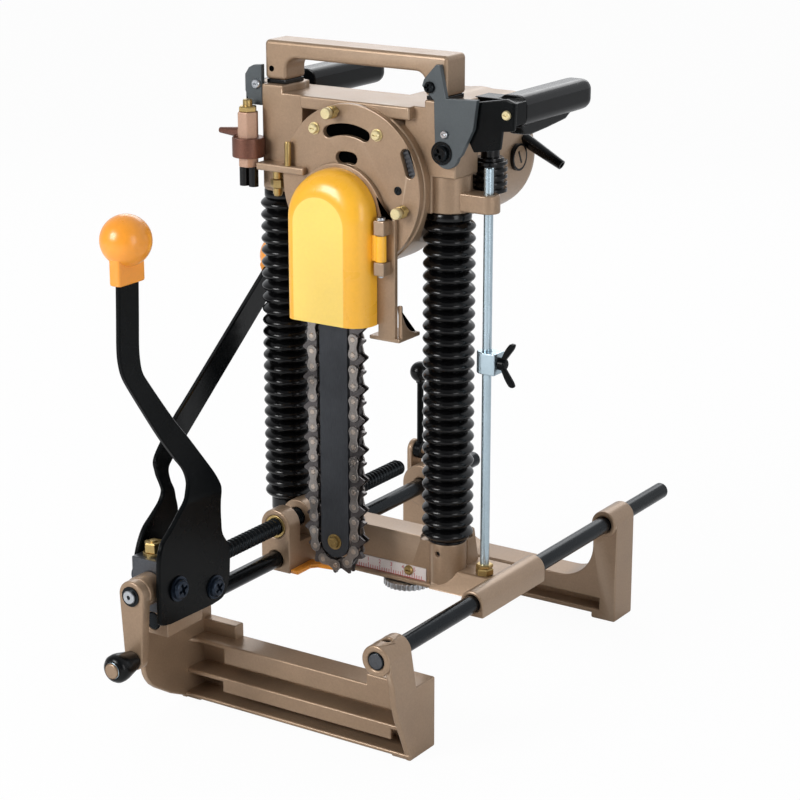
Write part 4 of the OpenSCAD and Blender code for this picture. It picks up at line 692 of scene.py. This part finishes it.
# Front and rear edges of the levers, in Y and Z round their pivots, with the bends' own X before them
CLAMP_FOOT = [((-10, -22.8), (38, -24)), ((-18.6, -20.5), (50, -22)), ((-19.2, -12), (56.5, -13)),
              ((-19.3, 2), (58.2, -2)), ((-19, 12), (58, 12)), ((-18.4, 22.5), (51, 24)),
              ((-15, 34.5), (49.8, 34)), ((-6, 42), (49.6, 42)), ((4, 51), (50, 49)),
              ((11.5, 58), (51, 55.5))]
CLAMP_RISE = [(-1, (15.3, 64), (51, 60)), (-2.6, (18.2, 70.5), (47, 68.5)), (-5, (17, 79), (38, 82)),
              (-7.2, (10.4, 88.5), (25.5, 99))]
CLAMP_BAR = [((-3.6, 107), (9.8, 118)), ((-25.7, 138), (-13.1, 147.4)), ((-36.4, 154.1), (-18.4, 155.5)),
             ((-39.9, 164), (-20.3, 163)), ((-41, 175), (-21, 174)), ((-40.2, 195), (-20.1, 195)),
             ((-38.6, 234), (-18.6, 234))]
RELEASE_FOOT = [((-2, -18), (20, -18)), ((-9, -13), (30, -13)), ((-9.5, 0), (37, -1)), ((-9, 12), (38, 8)),
                ((-6, 22), (38, 20)), ((0.5, 32.5), (37.5, 32)), ((10, 39.7), (37, 39)),
                ((18.5, 46.5), (35.5, 45)), ((22, 53), (34, 52))]
RELEASE_RISE = [(-0.8, (21.5, 58), (31.5, 58.5)), (-2.5, (19, 68), (31.5, 66)),
                (-3.5, (20.5, 79), (36, 71))]


def ball(bm, centre, axis, spin):
    """A ball on a flat neck with rounded corners."""
    place = aim(centre, axis, spin)
    steps = [math.radians(a) for a in range(-84, 90, 6)]
    revolve(bm, [(BALL_R * math.cos(a), BALL_R * math.sin(a)) for a in steps] + [(TIP, BALL_R)], place, 56)
    outline = rounded(oblong(-4.6, -13, 4.6, 13), 2.4)
    levels = [(0.86, -NECK_H), (0.96, -NECK_H + 0.4), (1, -NECK_H + 1.2), (1, -12), (1.04, -9)]
    skin(bm, [[place @ Vector((x * k, y * (1 + (k - 1) * 0.4), h)) for x, y in outline] for k, h in levels])


def make_clamp_lever():
    """The front lever: a wide foot, a bend in its plate and a straight bar, with its ball."""
    bm = bmesh.new()
    rows = [(CLAMP_X, f, b) for f, b in CLAMP_FOOT] + [(CLAMP_X + x, f, b) for x, f, b in CLAMP_RISE]
    rows += [(CLAMP_BEND_X, f, b) for f, b in CLAMP_BAR]
    ribbon(bm, stations(rows, PIVOT_Y), LEVER_T)
    finish_piece("clamp_bar", bm, BLACK, ["clamp_lever"])
    bm = bmesh.new()
    ball(bm, CLAMP_BALL, (0, 0, 1), 0)
    finish_piece("clamp_knob", bm, ORANGE, ["clamp_ball"], crease=50)


def make_release_lever():
    """The rear lever: a foot, a bend and a bar that leans back and out to its ball."""
    bm = bmesh.new()
    bend = Vector((RELEASE_X - 4, RELEASE_Y + 37, PIVOT_Z + 83.5))
    way = (RELEASE_BALL - bend).normalized()
    path = [bend + way * 14, bend + way * 40, bend + way * 110, RELEASE_BALL - way * 6]
    rows = [(RELEASE_X, f, b) for f, b in RELEASE_FOOT]
    rows += [(RELEASE_X + x, f, b) for x, f, b in RELEASE_RISE]
    ribbon(bm, stations(rows, RELEASE_Y) + bar_stations(path, LEVER_W), LEVER_T)
    finish_piece("release_bar", bm, BLACK, ["release_lever"])
    bm = bmesh.new()
    place = aim(RELEASE_BALL, way)
    wide = Vector((0, way.z, -way.y)).normalized()
    local = place.to_3x3().inverted() @ wide
    ball(bm, RELEASE_BALL, way, math.degrees(math.atan2(local.y, local.x)) - 90)
    finish_piece("release_knob", bm, ORANGE, ["release_ball"], crease=50)


make_clamp_lever()
make_release_lever()


# Rear fence

dress("rear_fence", TAN, 1.4, 3)


def make_fence_lever():
    """The fence's lock lever: a hub, an upright stem and a small ball."""
    low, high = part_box("fence_lever")
    centre = (low + high) / 2 / MM
    hub_z, ball_z = 33.5, 98.5
    bm = bmesh.new()
    across = aim((centre.x, centre.y, hub_z), (1, 0, 0))
    prism(bm, circle(7, 32), across, -2.85, 2.85, [circle(3.05, 24)])
    revolve(bm, [(2.9, 3.5), (2.6, 8), (2.6, 60)], aim((centre.x, centre.y, hub_z), (0, 0, 1)), 20)
    soften(bm, 0.4, 2)
    finish_piece("fence_stem", bm, BLACK, ["fence_lever"])
    bm = bmesh.new()
    r = 8.25
    profile = [(3.4, -r - 0.6), (3.6, -r + 0.6)]
    profile += [(r * math.cos(math.radians(a)), r * math.sin(math.radians(a))) for a in range(-60, 90, 10)]
    revolve(bm, profile + [(TIP, r)], aim((centre.x, centre.y, ball_z), (0, 0, 1)), 32)
    finish_piece("fence_knob", bm, BLACK_PLASTIC, ["fence_ball"], crease=60)


make_fence_lever()


# Saddle, columns and depth stop

dress("saddle", TAN, 1.1, 2)
dress("feed_nut", BRASS, 0.4)
dress("index_strip", ORANGE, 0.6)
dress("guide_roller", STEEL, 0.25)
dress("depth_rod", ZINC, 0.6)
dress("stop_collar", ZINC, 0.8)
keep("columns", STEEL)


def make_bellows(name, node, side, low, first_rib):
    """A ribbed rubber sleeve that shortens as the head comes down, above a cuff that stays as it is."""
    high, cuff = HEAD_LOW, 6.0
    pitch = (high - cuff - first_rib) / RIBS
    bore, inner, outer, samples = 12.4, 14.0, 18.4, 12
    column = aim((side * COL_X, COL_Y, 0), (0, 0, 1))
    bm = bmesh.new()
    lower = [(bore, low), (13.5, low), (13.8, low + 0.4), (13.8, first_rib - 0.4), (bore, first_rib - 0.2)]
    revolve(bm, lower, column, 48)
    finish_piece(name + "_cuff", bm, RUBBER, body=BODY_OF[node])
    profile = [(bore, first_rib)]
    for i in range(RIBS):
        for k in range(samples):
            t = k / samples
            swell = 1 - abs(2 * t - 1) ** 1.7
            profile.append((inner + (outer - inner) * swell, first_rib + (i + t) * pitch))
    profile += [(inner, high - cuff), (15.3, high - cuff + 0.5), (15.5, high - cuff + 1.2),
                (15.5, high - 0.6), (15, high), (13.4, high)]
    bm = bmesh.new()
    revolve(bm, profile, column, 48)
    piece = finish_piece(name, bm, RUBBER, [node], crease=80, weighted=False)
    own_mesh(piece)


def make_return_springs():
    """The springs inside the columns, which shorten as the head comes down."""
    bm = bmesh.new()
    low, high = 5.8, 344.2
    for side in (-1, 1):
        tube(bm, helix((side * COL_X, COL_Y, low), (0, 0, 1), 6.1, high - low, 44, 14), 0.8, 7)
    piece = finish_piece("column_springs", bm, STEEL, ["return_springs"], crease=80, weighted=False)
    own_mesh(piece)


def make_scale():
    """A pale plate with red ticks and plain numbers, and its screw."""
    dress("scale_plate", WHITE_INK, 0.15, 1)
    low, high = (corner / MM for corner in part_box("scale_plate"))
    wall = facing(low.y)
    bm = bmesh.new()
    step, count, first = 2.0, 29, low.x + 2.5
    foot, half_line, ink = low.z + 0.4, 0.22, 0.06
    for i in range(count):
        x = first + i * step
        tall = 4.2 if i % 5 == 0 else 2.6
        prism(bm, oblong(x - half_line, foot, x + half_line, foot + tall), wall, 0, ink)
    prism(bm, oblong(low.x + 1, low.z + 0.1, high.x - 1, foot), wall, 0, ink)
    finish_piece("scale_ticks", bm, RED_INK, body="saddle")
    for i in range(6):
        curve = bpy.data.curves.new(f"scale_number_{i}", "FONT")
        curve.body = str(i)
        curve.size = 4.2 * MM
        curve.extrude = 0.03 * MM
        curve.align_x = "CENTER"
        curve.materials.append(RED_INK)
        number = bpy.data.objects.new(f"scale_number_{i}", curve)
        bpy.context.scene.collection.objects.link(number)
        number.rotation_euler = (math.radians(90), 0, 0)
        number.location = Vector((first + i * 5 * step, low.y - 0.04, high.z - 3.9)) * MM
        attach(number, "saddle")
    bm = bmesh.new()
    screw_head(bm, facing(low.y, 44, 9), 7.2, 2.2, SLOT)
    nut = aim((DEPTH_X, COL_Y, 14), (0, 0, 1), 15)
    hex_head(bm, nut, 11.4, 0, 5)
    hex_head(bm, nut @ Matrix.Rotation(math.radians(20), 4, "Z"), 10.6, 5, 8)
    finish_piece("saddle_screws", bm, BRASS, ["saddle_fasteners"])


def make_wing_screw():
    """The stop collar's screw with its two wings."""
    bm = bmesh.new()
    low, high = (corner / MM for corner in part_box("wing_screw"))
    mid = (low.z + high.z) / 2
    out = aim((WING_X, COL_Y, mid), (1, 0, 0))
    revolve(bm, [(2, -6), (2, 0), (4.3, 0), (4.5, 0.6), (4.1, 4.6), (3, 5.4), (TIP, 5.6)], out, 28)
    leaf = rounded([(0.8, 2.2), (4.2, 2.0), (11.5, 12), (12.6, 15.4), (8.6, 15.8), (5, 11)], 2.6)
    for side in (-1, 1):
        wing = [(x, z * side) for x, z in leaf]
        prism(bm, wing, facing(COL_Y, WING_X, mid), -1.5, 1.5)
    soften(bm, 0.5, 2, 40)
    finish_piece("wing_bolt", bm, BLACK, ["wing_screw"])


make_bellows("left_boot", "left_bellows", -1, LEFT_FOOT, LEFT_RIB)
make_bellows("right_boot", "right_bellows", 1, RIGHT_FOOT, RIGHT_RIB)
make_return_springs()
make_scale()
make_wing_screw()


# Head

dress("head_casting", TAN, 1.3, 3)
dress("front_cover", TAN, 0.6, 2)
dress("carry_handle", TAN, 2.6, 4, hole=HANDLE_HOLE)
dress("handle_gaskets", RUBBER, 0.5)
dress("grip_plates", PLATE_GREY, 0.5)
dress("grip_brackets", BLACK, 0.9)
dress("motor_housing", TAN, 1.0, 2)
dress("guard_bracket", TAN, 0.9, 2)
dress("hinge_pin", STEEL, 0.3)
dress("chain_bar", BAR_STEEL, 0.5)
dress("trigger", BLACK_PLASTIC, 1.2)
dress("cord_gland", RUBBER, 0.4)
dress("switch_boot", RUBBER, 0.4)
for name in ("head_sleeves", "bearings", "drive_spindle", "drive_gear", "nose_roller"):
    keep(name, STEEL)
for name in ("motor_field", "armature"):
    keep(name, DARK_STEEL)


def make_oiler():
    """A brown cup between two paler hexagons."""
    piece = dress("oiler_body", COPPER, 0.7)
    piece.data.materials.append(PINK)
    for face in piece.data.polygons:
        centre = face.center / MM
        if centre.x > CUP_ARM_X and not CUP_LOW < centre.z < CUP_HIGH:
            face.material_index = 1


def make_brush_caps():
    """Painted caps with a dark rim and a dark slot."""
    dress("brush_caps", TAN, 0.5)
    low, high = (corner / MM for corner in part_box("brush_caps"))
    mid = (low + high) / 2
    bm = bmesh.new()
    for x, side in ((low.x, -1), (high.x, 1)):
        out = aim((x, mid.y, mid.z), (side, 0, 0), 25)
        prism(bm, circle(9.9, 40), out, -2.6, 0.1, [circle(8.3, 40)])
        prism(bm, rounded(oblong(-5, -0.9, 5, 0.9), 0.6), out, -0.5, 0.12)
    finish_piece("brush_rims", bm, BLACK_PLASTIC, body="head")


def make_hand_grips():
    """The grips' own shapes, drawn in to a rounded rear end."""
    bm = node_shape("hand_grips")
    half, around, reach, end_share = 11.0, 12.0, 9.0, 0.62
    low, high = (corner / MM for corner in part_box("hand_grips"))
    mid_z = (low.z + high.z) / 2
    for x in (low.x + half, high.x - half):
        rear = max(v.co.y for v in bm.verts if abs(v.co.x - x) < around)
        for back in (reach, 6, 3.5, 1.6, 0.5):
            near = [f for f in bm.faces if abs(f.calc_center_median().x - x) < around]
            edges = dict.fromkeys(e for f in near for e in f.edges)
            corners = dict.fromkeys(v for f in near for v in f.verts)
            bmesh.ops.bisect_plane(bm, geom=[*near, *edges, *corners], plane_co=(0, rear - back, 0),
                                   plane_no=(0, 1, 0))
        for v in bm.verts:
            if abs(v.co.x - x) < around and v.co.y > rear - reach:
                t = (v.co.y - rear + reach) / reach
                k = end_share + (1 - end_share) * math.sqrt(max(0, 1 - t ** 2))
                v.co.x, v.co.z = x + (v.co.x - x) * k, mid_z + (v.co.z - mid_z) * k
    soften(bm, 0.8, 2, 40)
    finish_piece("grip_covers", bm, BLACK_PLASTIC, ["hand_grips"], crease=40)


def make_head_screws():
    """The screws and pins on the cover, the grip plates and the right grip bracket."""
    bm = bmesh.new()
    thick = 0.8
    for x, z in ((-22.5, CASE_Z + 37.5), (29.5, CASE_Z + 37.8)):
        out = facing(COVER_FRONT, x, z)
        washer(bm, out, 8.6, 4, thick)
        screw_head(bm, raised(out, thick), 7.2, 2.4, SLOT)
    finish_piece("cover_screws", bm, PALE_BRASS, ["head_screws"])
    bm = bmesh.new()
    lower = facing(PLATE_FRONT, 76.6, 318)
    # The black washer round the lower screw is painted shade: it stands for the dark recess round the screw's
    # head.
    washer(bm, lower, 16, 7, thick)
    screw_head(bm, raised(lower, thick) @ Matrix.Rotation(0.35, 4, "Z"), 11.5, 3)
    screw_head(bm, facing(PLATE_FRONT, 66.9, 361.6), 8, 2.4)
    finish_piece("plate_screws", bm, BLACK_OXIDE, body="head")
    bm = bmesh.new()
    screw_head(bm, facing(PLATE_FRONT, 78.9, 331), 5.8, 2, SLOT)
    screw_head(bm, facing(PLATE_FRONT, -77.2, 351.5), 7, 2.2, SLOT)
    finish_piece("plate_pins", bm, STEEL, body="head")
    bm = bmesh.new()
    screw_head(bm, facing(BRACKET_FRONT, 124.5, 347.5), 6.5, 2, SLOT)
    finish_piece("bracket_screw", bm, PALE_BRASS, body="head")


def make_thumb_bolts():
    """The cover's two thumb bolts, each in a coil spring."""
    bm = bmesh.new()
    coils = bmesh.new()
    for x, z in ((-6, CASE_Z + 50.5), (51, CASE_Z - 12.5)):
        out = facing(COVER_FRONT, x, z)
        revolve(bm, [(2.5, -4), (2.5, 7), (3.7, 7), (4, 7.5), (4, 10.2), (3.6, 11), (TIP, 11)], out, 28)
        tube(coils, helix(out @ Vector((0, 0, 0.4)), (0, -1, 0), 3.9, 6.0, 4, 18), 0.5, 8)
    finish_piece("cover_thumb_bolts", bm, PALE_BRASS, ["thumb_bolts"])
    finish_piece("cover_springs", coils, BRASS, ["thumb_springs"], crease=80, weighted=False)


def make_vents():
    """Painted shade: flat black sheets behind the cover's slots and in the handle's hole, for the dark inside
    of the case, and the ribs and plug on the cover's right.
    """
    bm = bmesh.new()
    back, half_w, spare = COVER_FRONT + 4.4, 4.4, 3
    centre = (COVER_X - 3, CASE_Z - 2)
    for r, half in ((41, 25), (21.7, 22)):
        start, end = 90 - half - spare, 90 + half + spare
        outer = circle(r + half_w, 20, centre, start, end)
        inner = circle(r - half_w, 20, centre, end, start)
        prism(bm, outer + inner, facing(back), -0.3, 0.5)
    # A black disc in the handle's hole: painted shade of the hole's inside.
    revolve(bm, [(2.1, -0.3), (2.1, 0.08), (TIP, 0.1)], aim(HANDLE_HOLE, (0, -1, 0)), 24)
    finish_piece("vent_shade_sheets", bm, SHADE_BLACK, body="head")
    bm = bmesh.new()
    lean = Matrix.Rotation(math.radians(107.5), 4, "Z")
    window = facing(back, COVER_X + 47.1, CASE_Z + 20.5) @ lean
    prism(bm, rounded(oblong(-11, -half_w, 11, half_w), 4), window, -0.3, 0.5)
    for i in range(6):
        x = -7.5 + i * 3
        prism(bm, oblong(x - 0.7, -3, x + 0.7, 3), window, 0.5, 1.8)
    finish_piece("window_ribs", bm, DARK_STEEL, body="head")
    bm = bmesh.new()
    plug = facing(COVER_FRONT, 46.4, 290.2) @ Matrix.Rotation(0.9, 4, "Z")
    screw_head(bm, plug, 6, 0.8, SLOT)
    finish_piece("cover_plug", bm, BLACK_OXIDE, body="head")


def make_oiler_fittings():
    """The brass on the oiler and on its shelf, and the oiler's two tube ends."""
    bm = bmesh.new()
    top = aim((OILER_X, OILER_Y, 333), (0, 0, 1))
    hex_head(bm, top, 11.5, 0, 4)
    revolve(bm, [(3.4, 4), (3.4, 8), (2.8, 8.6)], top, 20)
    post = aim((-43, 5.5, 298.5), (0, 0, 1))
    revolve(bm, [(2.4, 0), (2.4, 15.5), (1.8, 17)], post, 20)
    drop = aim((-56, 11, 293), (0, 0, -1))
    revolve(bm, [(3.5, 0), (3.5, 5.5), (2.8, 6), (2.8, 12), (3.5, 12.4), (3.5, 16), (2.6, 18)], drop, 24)
    hex_head(bm, drop, 9, 6, 12)
    finish_piece("oiler_brass", bm, BRASS, ["oiler_fittings"])
    bm = bmesh.new()
    for side in (-1, 1):
        revolve(bm, [(2.2, 0), (3.5, 0), (3.5, 14)], aim((OILER_X + side * 4, OILER_Y, 280), (0, 0, 1)), 24)
    finish_piece("oiler_tubes", bm, RUBBER, body="head")


make_oiler()
make_brush_caps()
make_hand_grips()
make_head_screws()
make_thumb_bolts()
make_vents()
make_oiler_fittings()


# Chain and guard

PIN_R, CHAIN_HALF = 17.5, 4.5
CHAIN_PAIRS, CHAIN_PHASE, PLATE_T = 26, 0.65, 1.2


def track(s):
    """A point on the line of the chain's pins, in X and Z, at a distance along it."""
    run, bend = SPROCKET_Z - NOSE_Z, math.pi * PIN_R
    s %= 2 * (run + bend)
    if s < run:
        return Vector((PIN_R, 0, NOSE_Z + s))
    if s < run + bend:
        a = (s - run) / PIN_R
        return Vector((PIN_R * math.cos(a), 0, SPROCKET_Z + PIN_R * math.sin(a)))
    if s < 2 * run + bend:
        return Vector((-PIN_R, 0, SPROCKET_Z - (s - run - bend)))
    a = math.pi + (s - 2 * run - bend) / PIN_R
    return Vector((PIN_R * math.cos(a), 0, NOSE_Z + PIN_R * math.sin(a)))


def make_chain():
    """Riveted links with figure-eight plates, and toothed links between them."""
    plates, rivets, teeth = bmesh.new(), bmesh.new(), bmesh.new()
    pitch = (2 * (SPROCKET_Z - NOSE_Z) + 2 * math.pi * PIN_R) / (2 * CHAIN_PAIRS)
    half = pitch / 2
    eye, waist = 4.1, 2.7
    eight = circle(eye, 13, (half, 0), -118, 118) + [(0, waist)]
    eight += circle(eye, 13, (-half, 0), 62, 298) + [(0, -waist)]
    tooth = [(-7.2, -3.4), (7.2, -3.4), (7.6, 2), (4.2, 8.4), (2.8, 8.2), (-1.6, 3.6), (-7.4, 2.8)]
    tang = [(-6.5, 3.2), (-4, -2), (-1.8, -5), (1.8, -5), (4, -2), (6.5, 3.2), (5.5, 7.6), (4, 7.4),
            (0.5, 3.4)]
    for i in range(2 * CHAIN_PAIRS):
        a, b = track((i + CHAIN_PHASE) * pitch), track((i + 1 + CHAIN_PHASE) * pitch)
        mid = (a + b) / 2
        along = (b - a).normalized()
        out = along.cross(Vector((0, 1, 0)))
        heart = Vector((0, 0, min(max(mid.z, NOSE_Z), SPROCKET_Z)))
        if out.dot(mid - heart) < 0:
            out = -out
        place = Matrix((along, out, along.cross(out))).transposed().to_4x4()
        place.translation = mid
        if i % 2 == 0:
            for y in (-CHAIN_HALF, CHAIN_HALF - PLATE_T):
                prism(plates, eight, place, y, y + PLATE_T)
            prism(teeth, tang, place, -1.6, 1.6)
        else:
            for y in (-3.2, 1.9):
                prism(teeth, tooth, place, y, y + 1.3)
        pin = aim(a, (0, 1, 0))
        h = CHAIN_HALF + 0.35
        revolve(rivets, [(1.6, -h), (2.0, -h + 0.35), (2.0, h - 0.35), (1.6, h)], pin, 14)
    soften(plates, 0.25, 1, 50)
    finish_piece("chain_plates", plates, BRONZE, ["chain"], crease=40)
    finish_piece("chain_rivets", rivets, RIVET, body="head")
    finish_piece("chain_teeth", teeth, CUTTER, body="head")
    bm = bmesh.new()
    front = aim((0, -3.2, NOSE_Z), (0, -1, 0), 15)
    washer(bm, front, 11.5, 4, 0.6)
    hex_head(bm, front, 8, 0.6, 2.6)
    revolve(bm, [(2.5, -7), (2.5, 2.8), (2.1, 3.2)], front, 20)
    hex_head(bm, aim((0, 3.2, NOSE_Z), (0, 1, 0)), 8, 0, 1.8)
    finish_piece("nose_screw", bm, BRASS, ["nose_bolt"])


def make_guard():
    """A pressed shell with wide rounded edges and a flat front, hung on its barrel."""
    bm = bmesh.new()
    wide, narrow = 15.0, 7.0

    def inset(edge, y):
        """How far a rounded edge has drawn in at a depth."""
        t = GUARD_FRONT + edge - y
        return edge - math.sqrt(max(0, edge ** 2 - t ** 2)) if t > 0 else 0

    def arch(y):
        """The shell's outline at a depth."""
        left, right = -GUARD_HALF + inset(narrow, y), GUARD_HALF - inset(wide, y)
        top = GUARD_ARCH + GUARD_HALF - inset(wide, y) * 1.2
        half, mid = (right - left) / 2, (left + right) / 2
        rise = top - GUARD_ARCH + inset(wide, y) * 0.4
        crown = [(mid + half * x, top - rise + rise * z) for x, z in circle(1, 37, (0, 0), 180, 0)]
        return [(left, GUARD_LOW), *crown, (right, GUARD_LOW)]

    depths = [GUARD_BACK] + [GUARD_FRONT + wide * (1 - math.sin(math.radians(a))) for a in range(0, 91, 9)]
    rings = [[bm.verts.new((x, y, z)) for x, z in arch(y)] for y in depths]
    for a, b in zip(rings, rings[1:]):
        for i in range(len(a) - 1):
            bm.faces.new((a[i], a[i + 1], b[i + 1], b[i]))
    bm.faces.new(rings[-1])
    bmesh.ops.recalc_face_normals(bm, faces=bm.faces)
    bmesh.ops.solidify(bm, geom=bm.faces[:], thickness=GUARD_WALL)
    barrel = aim((HINGE_X, 0, BARREL_LOW), (0, 0, 1))
    prism(bm, circle(3.8, 24), barrel, 0, BARREL_LEN, [circle(2.05, 20)])
    tab = Matrix.Translation((34.5, 0, BARREL_LOW + BARREL_LEN / 2)) @ Matrix.Diagonal((7, 3, BARREL_LEN, 1))
    bmesh.ops.create_cube(bm, size=1, matrix=tab)
    shell = finish_piece("guard_shell", bm, YELLOW, ["chain_guard"], crease=40)
    shell.data.materials.append(LIT_YELLOW)
    # The large flat faces square to Y take the paler yellow: painted light on the flat front.
    for face in shell.data.polygons:
        if face.area > FLAT_AREA * MM * MM and abs(face.normal.y) > 0.99:
            face.material_index = 1


make_chain()
make_guard()
